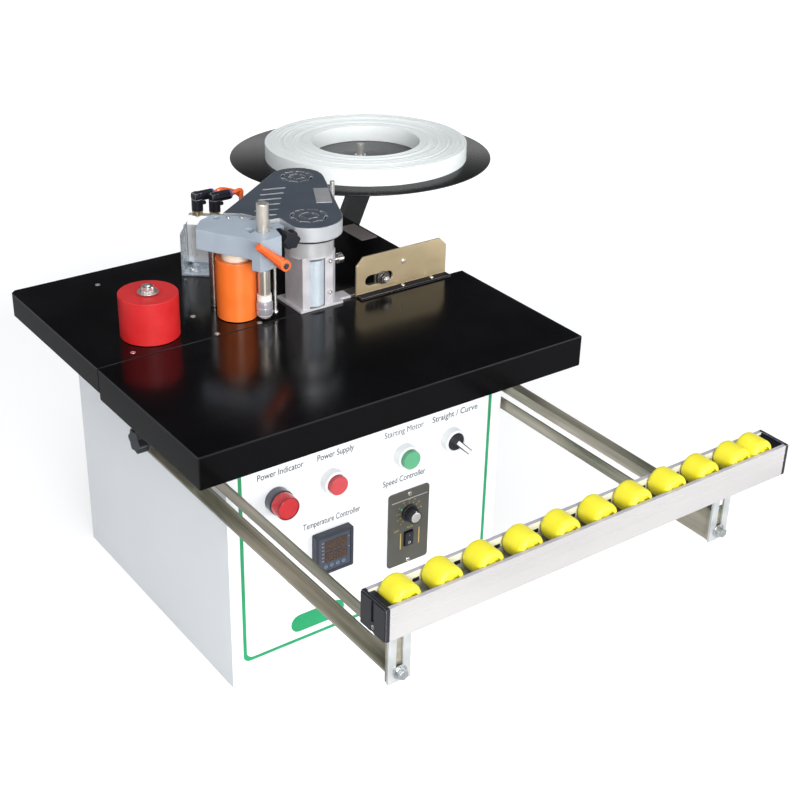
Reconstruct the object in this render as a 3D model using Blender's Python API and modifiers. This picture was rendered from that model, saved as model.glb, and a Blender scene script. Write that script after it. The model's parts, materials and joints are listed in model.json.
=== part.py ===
"""Bench-top edge banding machine: sheet-metal cabinet, two tables, roller support, glue head and tape reel.

Metres, +Z up. X runs to the operator's right, Y to the back. The origin is the centre of the footprint.
"""

import math

import bmesh
import bpy
from mathutils import Matrix, Vector

# ---------------------------------------------------------------- driving dimensions
CABINET_WIDTH = 0.385
CABINET_DEPTH = 0.380
TABLE_TOP = 0.368
SIDE_OVERHANG = 0.0645
CLEARANCE = 0.0003

SHEET = 0.002
BASE_THICKNESS = 0.002
LIP = 0.020

TABLE_SHEET = 0.003
FRONT_OVERHANG = 0.065
REAR_OVERHANG = 0.036
SEAM_OFFSET = 0.1675
FRONT_FASCIA = 0.0395
REAR_FASCIA = 0.031
REAR_INSET = 0.024
CORNER_CUT = 0.006

CONTROL_ROW_DROP = 0.127
CONTROL_HOLE = 0.0112
INDICATOR_X = -0.129
RED_BUTTON_X = -0.0556
GREEN_BUTTON_X = 0.047
SELECTOR_X = 0.117
SELECTOR_ANGLE = math.radians(45)
THERMOSTAT_X = -0.0565
THERMOSTAT_DROP = 0.221
THERMOSTAT_WIDTH = 0.052
THERMOSTAT_HEIGHT = 0.055
SPEED_X = 0.0555
SPEED_DROP = 0.2305
SPEED_WIDTH = 0.060
SPEED_HEIGHT = 0.105
SPEED_PLATE = 0.0025
SPEED_KNOB_RISE = 0.0205
ROCKER_DROP = 0.0165
ROCKER_WIDTH = 0.0124
ROCKER_HEIGHT = 0.019
BEZEL_RADIUS = 0.0148
BEZEL_REACH = 0.0110
CAP_RADIUS = 0.0112
BUTTON_REACH = 0.018
SELECTOR_REACH = 0.0125

INLET_X = -0.100
INLET_Z = 0.070
INLET_WIDTH = 0.027
INLET_HEIGHT = 0.020
INLET_FLANGE = 0.050
VALVE_X = 0.040
VALVE_DROP = 0.054
VALVE_BLOCK = 0.030
AIR_PORT = 0.006
LOUVRE_LENGTH = 0.060
LOUVRE_STEP = 0.012

RAIL_SHEET = 0.0025
RAIL_FLANGE = 0.013
RAIL_HEIGHT = 0.037
RAIL_REAR = 0.148
SLOT_WIDTH = 0.0095
SLOT_TO_FLANGE = 0.0175
SLOT_FRONT = 0.300
LEFT_STANDOFF = 0.013
RIGHT_STANDOFF = 0.0045
LEFT_SLOT_DROP = 0.0865
RIGHT_SLOT_DROP = 0.0925
RAIL_BOLT_DROP = 0.102
GUIDE_SETBACK = 0.045
KNOB_SETBACK = 0.137
KNOB_STUD = 0.004
KNOB_RADIUS = 0.015

BRACKET_WIDTH = 0.025
BRACKET_OFFSET = 0.0035
BRACKET_SHEET = 0.0025
BRACKET_DROP = 0.113
BRACKET_SLOT = 0.0074
BRACKET_SLOT_LENGTH = 0.068

TRACK_REACH = 0.346
TRACK_OVERHANG = 0.0595
TRACK_DEPTH = 0.0375
TRACK_HEIGHT = 0.0345
TRACK_RISE = 0.0075
TRACK_WALL = 0.0042
TRACK_FLOOR = 0.0025
TRACK_CHANNEL = 0.021
TRACK_CAP = 0.003
ROLLER_COUNT = 11
ROLLER_RADIUS = 0.015
ROLLER_PIN = 0.002
ROLLER_PIN_DROP = 0.0045
ROLLER_MARGIN = 0.0275
ROLLER_LAST_STEP = 0.031

RED_ROLLER = (-0.167, 0.215)
RED_RADIUS = 0.035
RED_HEIGHT = 0.053
PRESS_ROLLER = (-0.055, 0.206)
PRESS_RADIUS = 0.0246
PRESS_HEIGHT = 0.075
PRESS_COLLAR = 0.0125
ARM_BOTTOM = 0.088
HEAD_TOP = 0.113
BLOCK_DROP = 0.0125
# Outlines on the table are given by X and by the distance behind the cabinet's front.
ARM_OUTLINE = (
    (-0.0970, 0.2240),
    (-0.0820, 0.1980),
    (-0.0740, 0.1850),
    (-0.0650, 0.1740),
    (-0.0610, 0.1630),
    (-0.0550, 0.1490),
    (-0.0240, 0.1530),
    (-0.0140, 0.1950),
    (-0.0300, 0.2300),
    (-0.0580, 0.2550),
    (-0.0800, 0.2450),
)
BLOCK_OUTLINE = (
    (-0.0600, 0.1600),
    (-0.0550, 0.1490),
    (-0.0240, 0.1530),
    (-0.0140, 0.1950),
    (-0.0280, 0.2060),
)
POST_RADIUS = 0.005
PROBE_RADIUS = 0.002
PROBE_BALL = 0.0036
LUG_X = -0.0085
LUG_FRONT = 0.186
LUG_REAR = 0.199
LUG_HEIGHT = 0.103
STAR_KNOB_Y = 0.160
STAR_KNOB_RADIUS = 0.0115
STUD_RADIUS = 0.0028
STUD_HOLE = 0.0033
GUIDE = (-0.034, 0.178)
GUIDE_RADIUS = 0.0075
GUIDE_HEIGHT = 0.147
PROBE = (-0.0196, 0.177)
POST = (-0.066, 0.243)
LEVER_PIVOT = (-0.030, 0.0835)
LEVER_Y = 0.141
BEARING_RADIUS = 0.010
PRESS_SHAFT = 0.006
GLUE_AXIS = (0.034, 0.1775)
GLUE_RADIUS = 0.0142
POT_AXIS = (0.0365, 0.1895)
POT_RADIUS = 0.0295
POT_LOW = 0.070
POT_TOP = 0.0915
POT_LEFT = 0.013
POT_RIGHT = 0.066
POT_FRONT = 0.167
POT_REAR = 0.217
FLANGE_THICKNESS = 0.003
MOTOR_AXIS = (0.097, 0.313)
COLUMN_RADIUS = 0.020
SHAFT_RADIUS = 0.006
SHAFT_DEPTH = 0.040
PLATE_THICKNESS = 0.003
PIN_SPOT = (0.1175, 0.262)
PIN_RADIUS = 0.003
PIN_HEIGHT = 0.119
SPROCKET_RADIUS = 0.018
SPROCKET_THICKNESS = 0.004
CHAIN_WIDTH = 0.0035
FRONT_LOBE = 0.0405
REAR_LOBE = 0.034
COVER_SHEET = 0.002
COVER_RIM = 0.018
MOTOR_LENGTH = 0.100
MOTOR_RADIUS = 0.038
GEARBOX = 0.042
GEARBOX_HEIGHT = 0.045

CUTTER_CORNER = (-0.0359, 0.3641)
CUTTER_HEADING = math.radians(-40)
CYLINDER_LENGTH = 0.048
CYLINDER_DEPTH = 0.028
CYLINDER_LOW = 0.008
CYLINDER_TOP = 0.068
CYLINDER_CHAMFER = 0.009
MOUNT_REACH = 0.028
MOUNT_SHEET = 0.003
MOUNT_HEIGHT = 0.057
ROD_REACH = 0.045
ROD_RADIUS = 0.004
ROD_HEIGHT = 0.040
PORT_OFFSETS = (0.0115, 0.0338)
ELBOW_RISE = 0.024
ELBOW_REACH = 0.021
ELBOW_RADIUS = 0.0065
TUBE_RADIUS = 0.003
TUBE_DROPS = ((0.046, 0.352), (0.039, 0.343))

FENCE_LEFT = 0.093
FENCE_RIGHT = 0.231
FENCE_HEIGHT = 0.051
FENCE_SHEET = 0.0025
FENCE_SETBACK = 0.170
FENCE_BOLT_X = 0.133
FENCE_SLOT_SHIFT = 0.006
FENCE_SLOT = 0.042
FENCE_SLOT_HEIGHT = 0.014
FENCE_SLOT_RISE = 0.018

REEL_X = 0.298
REEL_BEHIND = 0.0827
REEL_RISE = 0.061
REEL_TILT = (0.013, 0.041)
REEL_RADIUS = 0.187
REEL_SHEET = 0.002
TAPE_OUTER = 0.144
TAPE_INNER = 0.077
TAPE_WIDTH = 0.023
TAPE_OFFSET = (0.0026, -0.0100)
SPINDLE_RADIUS = 0.005
SPINDLE_HEIGHT = 0.018
BEAM = 0.025
BEAM_DROP = 0.0525
BAR_WIDTH = 0.038
BAR_THICKNESS = 0.012
BAR_SHIFT = 0.046
KNEE_INSET = 0.028

# ---------------------------------------------------------------- derived positions
HALF_WIDTH = CABINET_WIDTH / 2
TABLE_WIDTH = CABINET_WIDTH + 2 * SIDE_OVERHANG
FRONT = -CABINET_DEPTH / 2
BACK = CABINET_DEPTH / 2
SHELL_BOTTOM = BASE_THICKNESS + CLEARANCE
SHELL_TOP = TABLE_TOP - TABLE_SHEET - CLEARANCE
SEAM = FRONT + SEAM_OFFSET
TRACK_REAR = FRONT - TRACK_REACH
TRACK_FRONT = TRACK_REAR - TRACK_DEPTH
TRACK_TOP = TABLE_TOP + TRACK_RISE
TRACK_HALF = HALF_WIDTH + TRACK_OVERHANG
BRACKET_FRONT = TRACK_REAR + CLEARANCE
RAIL_FRONT = BRACKET_FRONT + BRACKET_SHEET + CLEARANCE
BOLT_Z = TABLE_TOP - RAIL_BOLT_DROP
KNOB_Y = FRONT + KNOB_SETBACK
GUIDE_Y = FRONT + GUIDE_SETBACK
CONTROL_Z = TABLE_TOP - CONTROL_ROW_DROP
THERMOSTAT_Z = TABLE_TOP - THERMOSTAT_DROP
SPEED_Z = TABLE_TOP - SPEED_DROP
VALVE_Z = TABLE_TOP - VALVE_DROP
CHAIN_Z = TABLE_TOP + POT_TOP + PLATE_THICKNESS + 0.003
REEL_Y = BACK + REEL_BEHIND
REEL_Z = TABLE_TOP + REEL_RISE

# ---------------------------------------------------------------- scene and collections
for old_object in list(bpy.data.objects):
    bpy.data.objects.remove(old_object, do_unlink=True)

PARTS = bpy.data.collections.new("edge_banding_machine")
CUTTERS = bpy.data.collections.new("cutters")
bpy.context.scene.collection.children.link(PARTS)
bpy.context.scene.collection.children.link(CUTTERS)


def material(name, colour, roughness, metallic=0.0):
    look = bpy.data.materials.new(name)
    look.use_nodes = True
    shader = look.node_tree.nodes["Principled BSDF"]
    shader.inputs["Base Color"].default_value = (*colour, 1.0)
    shader.inputs["Roughness"].default_value = roughness
    shader.inputs["Metallic"].default_value = metallic
    return look


WHITE_PAINT = material("white_paint", (0.80, 0.83, 0.86), 0.45)
BLACK_PAINT = material("black_paint", (0.010, 0.010, 0.011), 0.35)
GREY_PAINT = material("grey_paint", (0.26, 0.30, 0.36), 0.40)
CAST_ALUMINIUM = material("cast_aluminium", (0.42, 0.42, 0.43), 0.45, 0.7)
ALUMINIUM = material("aluminium", (0.80, 0.78, 0.76), 0.35, 0.8)
STEEL = material("steel", (0.60, 0.58, 0.55), 0.25, 1.0)
DARK_STEEL = material("dark_steel", (0.12, 0.12, 0.13), 0.45, 0.9)
YELLOW_ZINC = material("yellow_zinc", (0.42, 0.38, 0.24), 0.35, 0.9)
GREY_ZINC = material("grey_zinc", (0.50, 0.54, 0.56), 0.35, 0.9)
BRASS = material("brass", (0.62, 0.47, 0.25), 0.35, 0.8)
BLACK_PLASTIC = material("black_plastic", (0.012, 0.012, 0.014), 0.45)
SLATE_PLASTIC = material("slate_plastic", (0.05, 0.06, 0.09), 0.40)
WHITE_PLASTIC = material("white_plastic", (0.85, 0.86, 0.88), 0.35)
RED_PLASTIC = material("red_plastic", (0.80, 0.05, 0.06), 0.35)
RED_LENS = material("red_lens", (0.80, 0.01, 0.02), 0.20)
GREEN_PLASTIC = material("green_plastic", (0.12, 0.60, 0.30), 0.35)
YELLOW_PLASTIC = material("yellow_plastic", (0.90, 0.80, 0.02), 0.40)
OLIVE_PLATE = material("olive_plate", (0.10, 0.10, 0.09), 0.45, 0.3)
RED_RUBBER = material("red_rubber", (0.80, 0.01, 0.01), 0.50)
ORANGE_RUBBER = material("orange_rubber", (0.90, 0.20, 0.01), 0.45)
ORANGE_PLASTIC = material("orange_plastic", (0.95, 0.16, 0.01), 0.35)
WHITE_TAPE = material("white_tape", (0.82, 0.84, 0.85), 0.55)


# ---------------------------------------------------------------- modelling helpers
UPRIGHT = Matrix.Identity(3)
TO_FRONT = Matrix(((1, 0, 0), (0, 0, -1), (0, 1, 0)))
TO_RIGHT = Matrix(((0, 0, 1), (1, 0, 0), (0, 1, 0)))
TO_LEFT = Matrix(((0, 0, -1), (-1, 0, 0), (0, 1, 0)))


def helper(name, data):
    """An object in the cutters' collection, which a sub-part can be made from, joined with or cut by."""
    tool = bpy.data.objects.new(name, data)
    tool.hide_render = True
    tool.display_type = "WIRE"
    CUTTERS.objects.link(tool)
    return tool


def place(tool, turn, at):
    tool.matrix_world = Matrix.Translation(at) @ turn.to_4x4()
    return tool


def smooth(mesh):
    mesh.shade_smooth()
    mesh.set_sharp_from_angle(angle=math.radians(35))


def box(low, high):
    shape = bmesh.new()
    bmesh.ops.create_cube(shape, size=1.0)
    low, high = Vector(low), Vector(high)
    for vert in shape.verts:
        share = vert.co + Vector((0.5, 0.5, 0.5))
        vert.co = Vector(low[i] + share[i] * (high[i] - low[i]) for i in range(3))
    mesh = bpy.data.meshes.new("box")
    shape.to_mesh(mesh)
    shape.free()
    return helper("box", mesh)


def rod(start, end, radius, sides=24, end_radius=None):
    """A round or tapered bar from start to end."""
    start, end = Vector(start), Vector(end)
    shape = bmesh.new()
    bmesh.ops.create_cone(
        shape,
        cap_ends=True,
        segments=sides,
        radius1=radius,
        radius2=radius if end_radius is None else end_radius,
        depth=(end - start).length,
    )
    turn = (end - start).to_track_quat("Z", "Y").to_matrix().to_4x4()
    shape.transform(Matrix.Translation((start + end) / 2) @ turn)
    mesh = bpy.data.meshes.new("rod")
    shape.to_mesh(mesh)
    shape.free()
    smooth(mesh)
    return helper("rod", mesh)


def turned(profile, at=(0, 0, 0), turn=UPRIGHT, sides=24, ring=False):
    """A solid turned about the local Z axis. The profile of (radius, height) runs down its outer side."""
    mesh = bpy.data.meshes.new("profile")
    edges = [(i, i + 1) for i in range(len(profile) - 1)]
    if ring:
        edges.append((len(profile) - 1, 0))
    mesh.from_pydata([(radius, 0, height) for radius, height in profile], edges, [])
    tool = helper("turned", mesh)
    screw = tool.modifiers.new("Screw", "SCREW")
    screw.steps = sides
    screw.render_steps = sides
    screw.use_merge_vertices = True
    screw.merge_threshold = 0.00001
    screw.use_smooth_shade = True
    return place(tool, turn, at)


def sheet(outlines, low, high, turn=UPRIGHT):
    """A flat outline, with its holes as further outlines, from low to high along the turned Z axis."""
    curve = bpy.data.curves.new("outline", "CURVE")
    curve.dimensions = "2D"
    curve.fill_mode = "BOTH"
    curve.extrude = (high - low) / 2
    for outline in outlines:
        spline = curve.splines.new("POLY")
        spline.points.add(len(outline) - 1)
        for point, (x, y) in zip(spline.points, outline):
            point.co = (x, y, 0, 1)
        spline.use_cyclic_u = True
    drawn = helper("outline", curve)
    bpy.context.view_layer.update()
    graph = bpy.context.evaluated_depsgraph_get()
    mesh = bpy.data.meshes.new_from_object(drawn.evaluated_get(graph))
    bpy.data.objects.remove(drawn, do_unlink=True)
    shape = bmesh.new()
    shape.from_mesh(mesh)
    bmesh.ops.remove_doubles(shape, verts=shape.verts, dist=0.000001)
    bmesh.ops.recalc_face_normals(shape, faces=shape.faces)
    shape.transform(turn.to_4x4() @ Matrix.Translation((0, 0, (low + high) / 2)))
    shape.to_mesh(mesh)
    shape.free()
    smooth(mesh)
    return helper("sheet", mesh)


def tube(points, radius, sides=2):
    curve = bpy.data.curves.new("route", "CURVE")
    curve.dimensions = "3D"
    curve.bevel_depth = radius
    curve.bevel_resolution = sides
    curve.use_fill_caps = True
    spline = curve.splines.new("POLY")
    spline.points.add(len(points) - 1)
    for point, position in zip(spline.points, points):
        point.co = (*position, 1)
    return helper("tube", curve)


def combine(body, tools, operation):
    for tool in tools:
        change = body.modifiers.new(operation.title(), "BOOLEAN")
        change.operation = operation
        change.object = tool


def sub_part(name, look, body, origin=None, add=(), cut=()):
    """Turns a helper into a named sub-part. Its origin goes to the joint's axis where it moves."""
    CUTTERS.objects.unlink(body)
    PARTS.objects.link(body)
    body.name = name
    body.hide_render = False
    body.display_type = "TEXTURED"
    body.data.materials.append(look)
    if origin is not None:
        body.data.transform(Matrix.Translation(-Vector(origin)))
        body.location = origin
    combine(body, add, "UNION")
    combine(body, cut, "DIFFERENCE")
    return body


def arc(centre, radius, start, end, count):
    """Points from the start angle to the end angle, both in degrees."""
    turns = [math.radians(start + (end - start) * i / count) for i in range(count + 1)]
    return [(centre[0] + radius * math.cos(t), centre[1] + radius * math.sin(t)) for t in turns]


def circle(centre, radius, count=24):
    return arc(centre, radius, 0, 360, count)[:-1]


def rectangle(low, high):
    return [low, (high[0], low[1]), high, (low[0], high[1])]


def slot(start, end, width, count=6):
    """A slot with round ends, between the centres of its end arcs."""
    lean = math.degrees(math.atan2(end[1] - start[1], end[0] - start[0]))
    far = arc(end, width / 2, lean - 90, lean + 90, count)
    return far + arc(start, width / 2, lean + 90, lean + 270, count)


def rounded(low, high, radius, count=3):
    corners = (
        (high[0] - radius, high[1] - radius, 0),
        (low[0] + radius, high[1] - radius, 90),
        (low[0] + radius, low[1] + radius, 180),
        (high[0] - radius, low[1] + radius, 270),
    )
    return [point for x, y, turn in corners for point in arc((x, y), radius, turn, turn + 90, count)]


def star(centre, radius, lobes, depth, count=4):
    points = []
    for i in range(lobes * count):
        turn = 2 * math.pi * i / (lobes * count)
        reach = radius - depth * (1 - math.cos(lobes * turn)) / 2
        points.append((centre[0] + reach * math.cos(turn), centre[1] + reach * math.sin(turn)))
    return points


def inset(points, distance):
    """A closed outline, which runs anticlockwise, moved inwards by the same distance all round."""
    moved = []
    for i, here in enumerate(points):
        before = Vector(here) - Vector(points[i - 1])
        after = Vector(points[(i + 1) % len(points)]) - Vector(here)
        first = Vector((-before.y, before.x)).normalized()
        second = Vector((-after.y, after.x)).normalized()
        middle = (first + second).normalized()
        shift = middle * distance / max(middle.dot(first), 0.5)
        moved.append((here[0] + shift.x, here[1] + shift.y))
    return moved


def curve_through(points, steps):
    """A smooth route through the points, as a Catmull-Rom curve."""
    ends = [Vector(p) for p in (points[0], *points, points[-1])]
    route = []
    for a, b, c, d in zip(ends, ends[1:], ends[2:], ends[3:]):
        for i in range(steps):
            t = i / steps
            bend = 2 * a - 5 * b + 4 * c - d
            twist = 3 * b - a - 3 * c + d
            route.append(0.5 * (2 * b + (c - a) * t + bend * t**2 + twist * t**3))
    return [*route, Vector(points[-1])]


def behind_front(spot, height=0.0):
    """A point given by its X and its distance behind the cabinet's front, at a height above the table."""
    return Vector((spot[0], FRONT + spot[1], TABLE_TOP + height))


# ---------------------------------------------------------------- cabinet and tables
def cabinet_base():
    plate = box((-HALF_WIDTH, FRONT, 0), (HALF_WIDTH, BACK, BASE_THICKNESS))
    sub_part("cabinet_base", WHITE_PAINT, plate)


def guide_and_spacers(side, standoff, slot_z):
    """The fixed guide bolt that the rail slides on, and the sleeves that hold the rail off the cabinet."""
    wall = side * (HALF_WIDTH - SHEET / 2)
    web_in = HALF_WIDTH + standoff - CLEARANCE
    web_out = HALF_WIDTH + standoff + RAIL_SHEET + CLEARANCE
    sleeves = [rod((wall, y, slot_z), (side * web_in, y, slot_z), 0.008, 16) for y in (GUIDE_Y, KNOB_Y)]
    shank = rod((wall, GUIDE_Y, slot_z), (side * (web_out + 0.002), GUIDE_Y, slot_z), 0.0035, 12)
    washer = box(
        (min(side * web_out, side * (web_out + 0.003)), GUIDE_Y - 0.006, slot_z - 0.009),
        (max(side * web_out, side * (web_out + 0.003)), GUIDE_Y + 0.006, slot_z + 0.009),
    )
    head_start = side * (web_out + 0.0025)
    head_end = side * (web_out + 0.007)
    head = rod((head_start, GUIDE_Y, slot_z), (head_end, GUIDE_Y, slot_z), 0.0055, 6)
    return [*sleeves, shank, washer, head]


def control_hole(x):
    return rod((x, FRONT - SHEET, CONTROL_Z), (x, FRONT + 2 * SHEET, CONTROL_Z), CONTROL_HOLE)


def cabinet_shell():
    body = box((-HALF_WIDTH, FRONT, SHELL_BOTTOM), (HALF_WIDTH, BACK, SHELL_TOP))
    inner = HALF_WIDTH - SHEET
    floor, ceiling = SHELL_BOTTOM + SHEET, SHELL_TOP - SHEET
    rebate = BACK - SHEET - CLEARANCE
    cuts = [
        box((-inner, FRONT + SHEET, floor), (inner, rebate - SHEET, ceiling)),
        box((-inner, rebate, floor), (inner, BACK + SHEET, ceiling)),
        box(
            (LIP - HALF_WIDTH, rebate - 2 * SHEET, SHELL_BOTTOM + LIP),
            (HALF_WIDTH - LIP, BACK, SHELL_TOP - LIP),
        ),
        box(
            (LIP - HALF_WIDTH, FRONT + LIP, SHELL_BOTTOM - SHEET),
            (HALF_WIDTH - LIP, BACK - LIP, SHELL_TOP + SHEET),
        ),
    ]
    cuts += [control_hole(x) for x in (INDICATOR_X, RED_BUTTON_X, GREEN_BUTTON_X, SELECTOR_X)]
    for x, z, width, height in (
        (THERMOSTAT_X, THERMOSTAT_Z, THERMOSTAT_WIDTH, THERMOSTAT_HEIGHT),
        (SPEED_X, SPEED_Z, SPEED_WIDTH, SPEED_HEIGHT),
    ):
        half_width, half_height = width / 2 - 0.0045, height / 2 - 0.0075
        cuts.append(
            box(
                (x - half_width, FRONT - SHEET, z - half_height),
                (x + half_width, FRONT + 2 * SHEET, z + half_height),
            )
        )
    adds = []
    for side, standoff, drop in ((-1, LEFT_STANDOFF, LEFT_SLOT_DROP), (1, RIGHT_STANDOFF, RIGHT_SLOT_DROP)):
        slot_z = TABLE_TOP - drop
        adds += guide_and_spacers(side, standoff, slot_z)
        reach = HALF_WIDTH + standoff
        cuts.append(
            rod(
                (side * (HALF_WIDTH - 0.010), KNOB_Y, slot_z),
                (side * (reach + 0.001), KNOB_Y, slot_z),
                KNOB_STUD + 0.0005,
                16,
            )
        )
    sub_part("cabinet_shell", WHITE_PAINT, body, add=adds, cut=cuts)


def cabinet_rear_cover():
    edge = SHEET + CLEARANCE
    outline = rectangle((-HALF_WIDTH + edge, SHELL_BOTTOM + edge), (HALF_WIDTH - edge, SHELL_TOP - edge))
    socket = rectangle(
        (INLET_X - INLET_WIDTH / 2 - CLEARANCE, INLET_Z - INLET_HEIGHT / 2 - CLEARANCE),
        (INLET_X + INLET_WIDTH / 2 + CLEARANCE, INLET_Z + INLET_HEIGHT / 2 + CLEARANCE),
    )
    port = circle((VALVE_X, VALVE_Z), AIR_PORT + 2 * CLEARANCE, 16)
    half = LOUVRE_LENGTH / 2
    vents = [
        slot((x - half, z), (x + half, z), 0.004, 2)
        for x in (-0.070, 0.070)
        for z in (TABLE_TOP - 0.130 - LOUVRE_STEP * i for i in range(6))
    ]
    panel = sheet([outline, socket, port, *vents], -BACK, SHEET - BACK, TO_FRONT)
    sub_part("cabinet_rear_cover", WHITE_PAINT, panel)


def table_outline(left, right, front, rear):
    """A rectangle whose rear corners are cut off."""
    return [
        (left, front),
        (right, front),
        (right, rear - CORNER_CUT),
        (right - CORNER_CUT, rear),
        (left + CORNER_CUT, rear),
        (left, rear - CORNER_CUT),
    ]


def front_table():
    left, right = -TABLE_WIDTH / 2, TABLE_WIDTH / 2
    front, rear = FRONT - FRONT_OVERHANG, SEAM - CLEARANCE
    body = sheet([rectangle((left, front), (right, rear))], TABLE_TOP - FRONT_FASCIA, TABLE_TOP)
    hollow = box(
        (left + TABLE_SHEET, front + TABLE_SHEET, TABLE_TOP - FRONT_FASCIA - SHEET),
        (right - TABLE_SHEET, rear + SHEET, TABLE_TOP - TABLE_SHEET),
    )
    sub_part("front_table", BLACK_PAINT, body, cut=[hollow])


def rear_table():
    left, right = -TABLE_WIDTH / 2, TABLE_WIDTH / 2 - REAR_INSET
    front, rear = SEAM + CLEARANCE, BACK + REAR_OVERHANG
    outline = table_outline(left, right, front, rear)
    body = sheet([outline], TABLE_TOP - REAR_FASCIA, TABLE_TOP)
    inner = table_outline(left + TABLE_SHEET, right - TABLE_SHEET, front - SHEET, rear - TABLE_SHEET)
    motor = behind_front(MOTOR_AXIS)
    cuts = [
        sheet([inner], TABLE_TOP - REAR_FASCIA - SHEET, TABLE_TOP - TABLE_SHEET),
        rod(motor - Vector((0, 0, 0.01)), motor + Vector((0, 0, 0.01)), SHAFT_RADIUS + 0.003),
    ]
    for drop in TUBE_DROPS:
        spot = behind_front(drop)
        cuts.append(rod(spot - Vector((0, 0, 0.01)), spot + Vector((0, 0, 0.01)), TUBE_RADIUS + 0.0006, 16))
    tape_pin = rod(behind_front(PIN_SPOT, -0.001), behind_front(PIN_SPOT, PIN_HEIGHT), PIN_RADIUS, 12)
    sub_part("rear_table", BLACK_PAINT, body, add=[tape_pin], cut=cuts)


# ---------------------------------------------------------------- front panel controls
def on_panel(x, z):
    return Vector((x, FRONT, z))


def bezel(name, x):
    profile = (
        (0, -0.012),
        (0.0095, -0.012),
        (0.0095, 0.0015),
        (CAP_RADIUS + 0.0006, 0.0015),
        (CAP_RADIUS + 0.0006, BEZEL_REACH),
        (BEZEL_RADIUS - 0.0003, BEZEL_REACH - 0.001),
        (BEZEL_RADIUS, CLEARANCE),
        (CONTROL_HOLE - CLEARANCE, CLEARANCE),
        (CONTROL_HOLE - CLEARANCE, -0.032),
        (0, -0.032),
    )
    sub_part(name, WHITE_PLASTIC, turned(profile, on_panel(x, CONTROL_Z), TO_FRONT))


def cap_profile(height):
    return (
        (0, height),
        (CAP_RADIUS - 0.001, height),
        (CAP_RADIUS, height - 0.001),
        (CAP_RADIUS, 0.0048),
        (0.0088, 0.0048),
        (0.0088, -0.009),
        (0, -0.009),
    )


def indicator_lamp():
    profile = (
        (0, 0.0255),
        (0.006, 0.0250),
        (0.0105, 0.0230),
        (0.0123, 0.0190),
        (0.0126, 0.0105),
        (0.0150, 0.0100),
        (0.0152, CLEARANCE),
        (CONTROL_HOLE - CLEARANCE, CLEARANCE),
        (CONTROL_HOLE - CLEARANCE, -0.035),
        (0, -0.035),
    )
    sub_part("indicator_lamp", RED_LENS, turned(profile, on_panel(INDICATOR_X, CONTROL_Z), TO_FRONT))


def push_button(name, look, x):
    sub_part(name, look, turned(cap_profile(BUTTON_REACH), on_panel(x, CONTROL_Z), TO_FRONT))


def selector_handle():
    centre = on_panel(SELECTOR_X, CONTROL_Z)
    disc = turned(cap_profile(SELECTOR_REACH), centre, TO_FRONT)
    lever = box((-0.010, -0.0035, SELECTOR_REACH - 0.001), (0.019, 0.0035, SELECTOR_REACH + 0.0095))
    lever.data.transform(Matrix.Rotation(-SELECTOR_ANGLE, 4, "Z"))
    place(lever, TO_FRONT, centre)
    sub_part("selector_handle", BLACK_PLASTIC, disc, add=[lever])


def temperature_controller():
    half_width, half_height = THERMOSTAT_WIDTH / 2, THERMOSTAT_HEIGHT / 2
    low = (THERMOSTAT_X - half_width, THERMOSTAT_Z - half_height)
    high = (THERMOSTAT_X + half_width, THERMOSTAT_Z + half_height)
    face = sheet([rounded(low, high, 0.002, 2)], -FRONT + CLEARANCE, -FRONT + 0.009, TO_FRONT)
    inner_width, inner_height = half_width - 0.005, half_height - 0.008
    body = box(
        (THERMOSTAT_X - inner_width, FRONT - 0.002, THERMOSTAT_Z - inner_height),
        (THERMOSTAT_X + inner_width, FRONT + 0.065, THERMOSTAT_Z + inner_height),
    )
    sub_part("temperature_controller", SLATE_PLASTIC, face, add=[body])


def speed_controller():
    half_width, half_height = SPEED_WIDTH / 2, SPEED_HEIGHT / 2
    low = (SPEED_X - half_width, SPEED_Z - half_height)
    high = (SPEED_X + half_width, SPEED_Z + half_height)
    plate = sheet([rounded(low, high, 0.004)], -FRONT + CLEARANCE, -FRONT + SPEED_PLATE, TO_FRONT)
    inner_width, inner_height = half_width - 0.005, half_height - 0.008
    body = box(
        (SPEED_X - inner_width, FRONT - 0.001, SPEED_Z - inner_height),
        (SPEED_X + inner_width, FRONT + 0.040, SPEED_Z + inner_height),
    )
    knob_z = SPEED_Z + SPEED_KNOB_RISE
    rocker_z = SPEED_Z - ROCKER_DROP
    half_rocker, half_rocker_height = ROCKER_WIDTH / 2 + 0.0006, ROCKER_HEIGHT / 2 + 0.0013
    cuts = [
        rod((SPEED_X, FRONT - 0.010, knob_z), (SPEED_X, FRONT + 0.010, knob_z), 0.0034, 16),
        box(
            (SPEED_X - half_rocker, FRONT - 0.010, rocker_z - half_rocker_height),
            (SPEED_X + half_rocker, FRONT + 0.007, rocker_z + half_rocker_height),
        ),
    ]
    sub_part("speed_controller", OLIVE_PLATE, plate, add=[body], cut=cuts)


def speed_knob():
    profile = (
        (0, 0.0170),
        (0.0086, 0.0170),
        (0.0096, 0.0160),
        (0.0110, 0.0045),
        (0.0110, SPEED_PLATE + 0.0007),
        (0.0029, SPEED_PLATE + 0.0007),
        (0.0029, -0.0080),
        (0, -0.0080),
    )
    spot = on_panel(SPEED_X, SPEED_Z + SPEED_KNOB_RISE)
    sub_part("speed_knob", BLACK_PLASTIC, turned(profile, spot, TO_FRONT))


def speed_rocker():
    z = SPEED_Z - ROCKER_DROP
    body = box(
        (SPEED_X - ROCKER_WIDTH / 2, FRONT - SPEED_PLATE - 0.003, z - ROCKER_HEIGHT / 2),
        (SPEED_X + ROCKER_WIDTH / 2, FRONT + 0.004, z + ROCKER_HEIGHT / 2),
    )
    sub_part("speed_rocker", BLACK_PLASTIC, body, origin=on_panel(SPEED_X, z))


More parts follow.
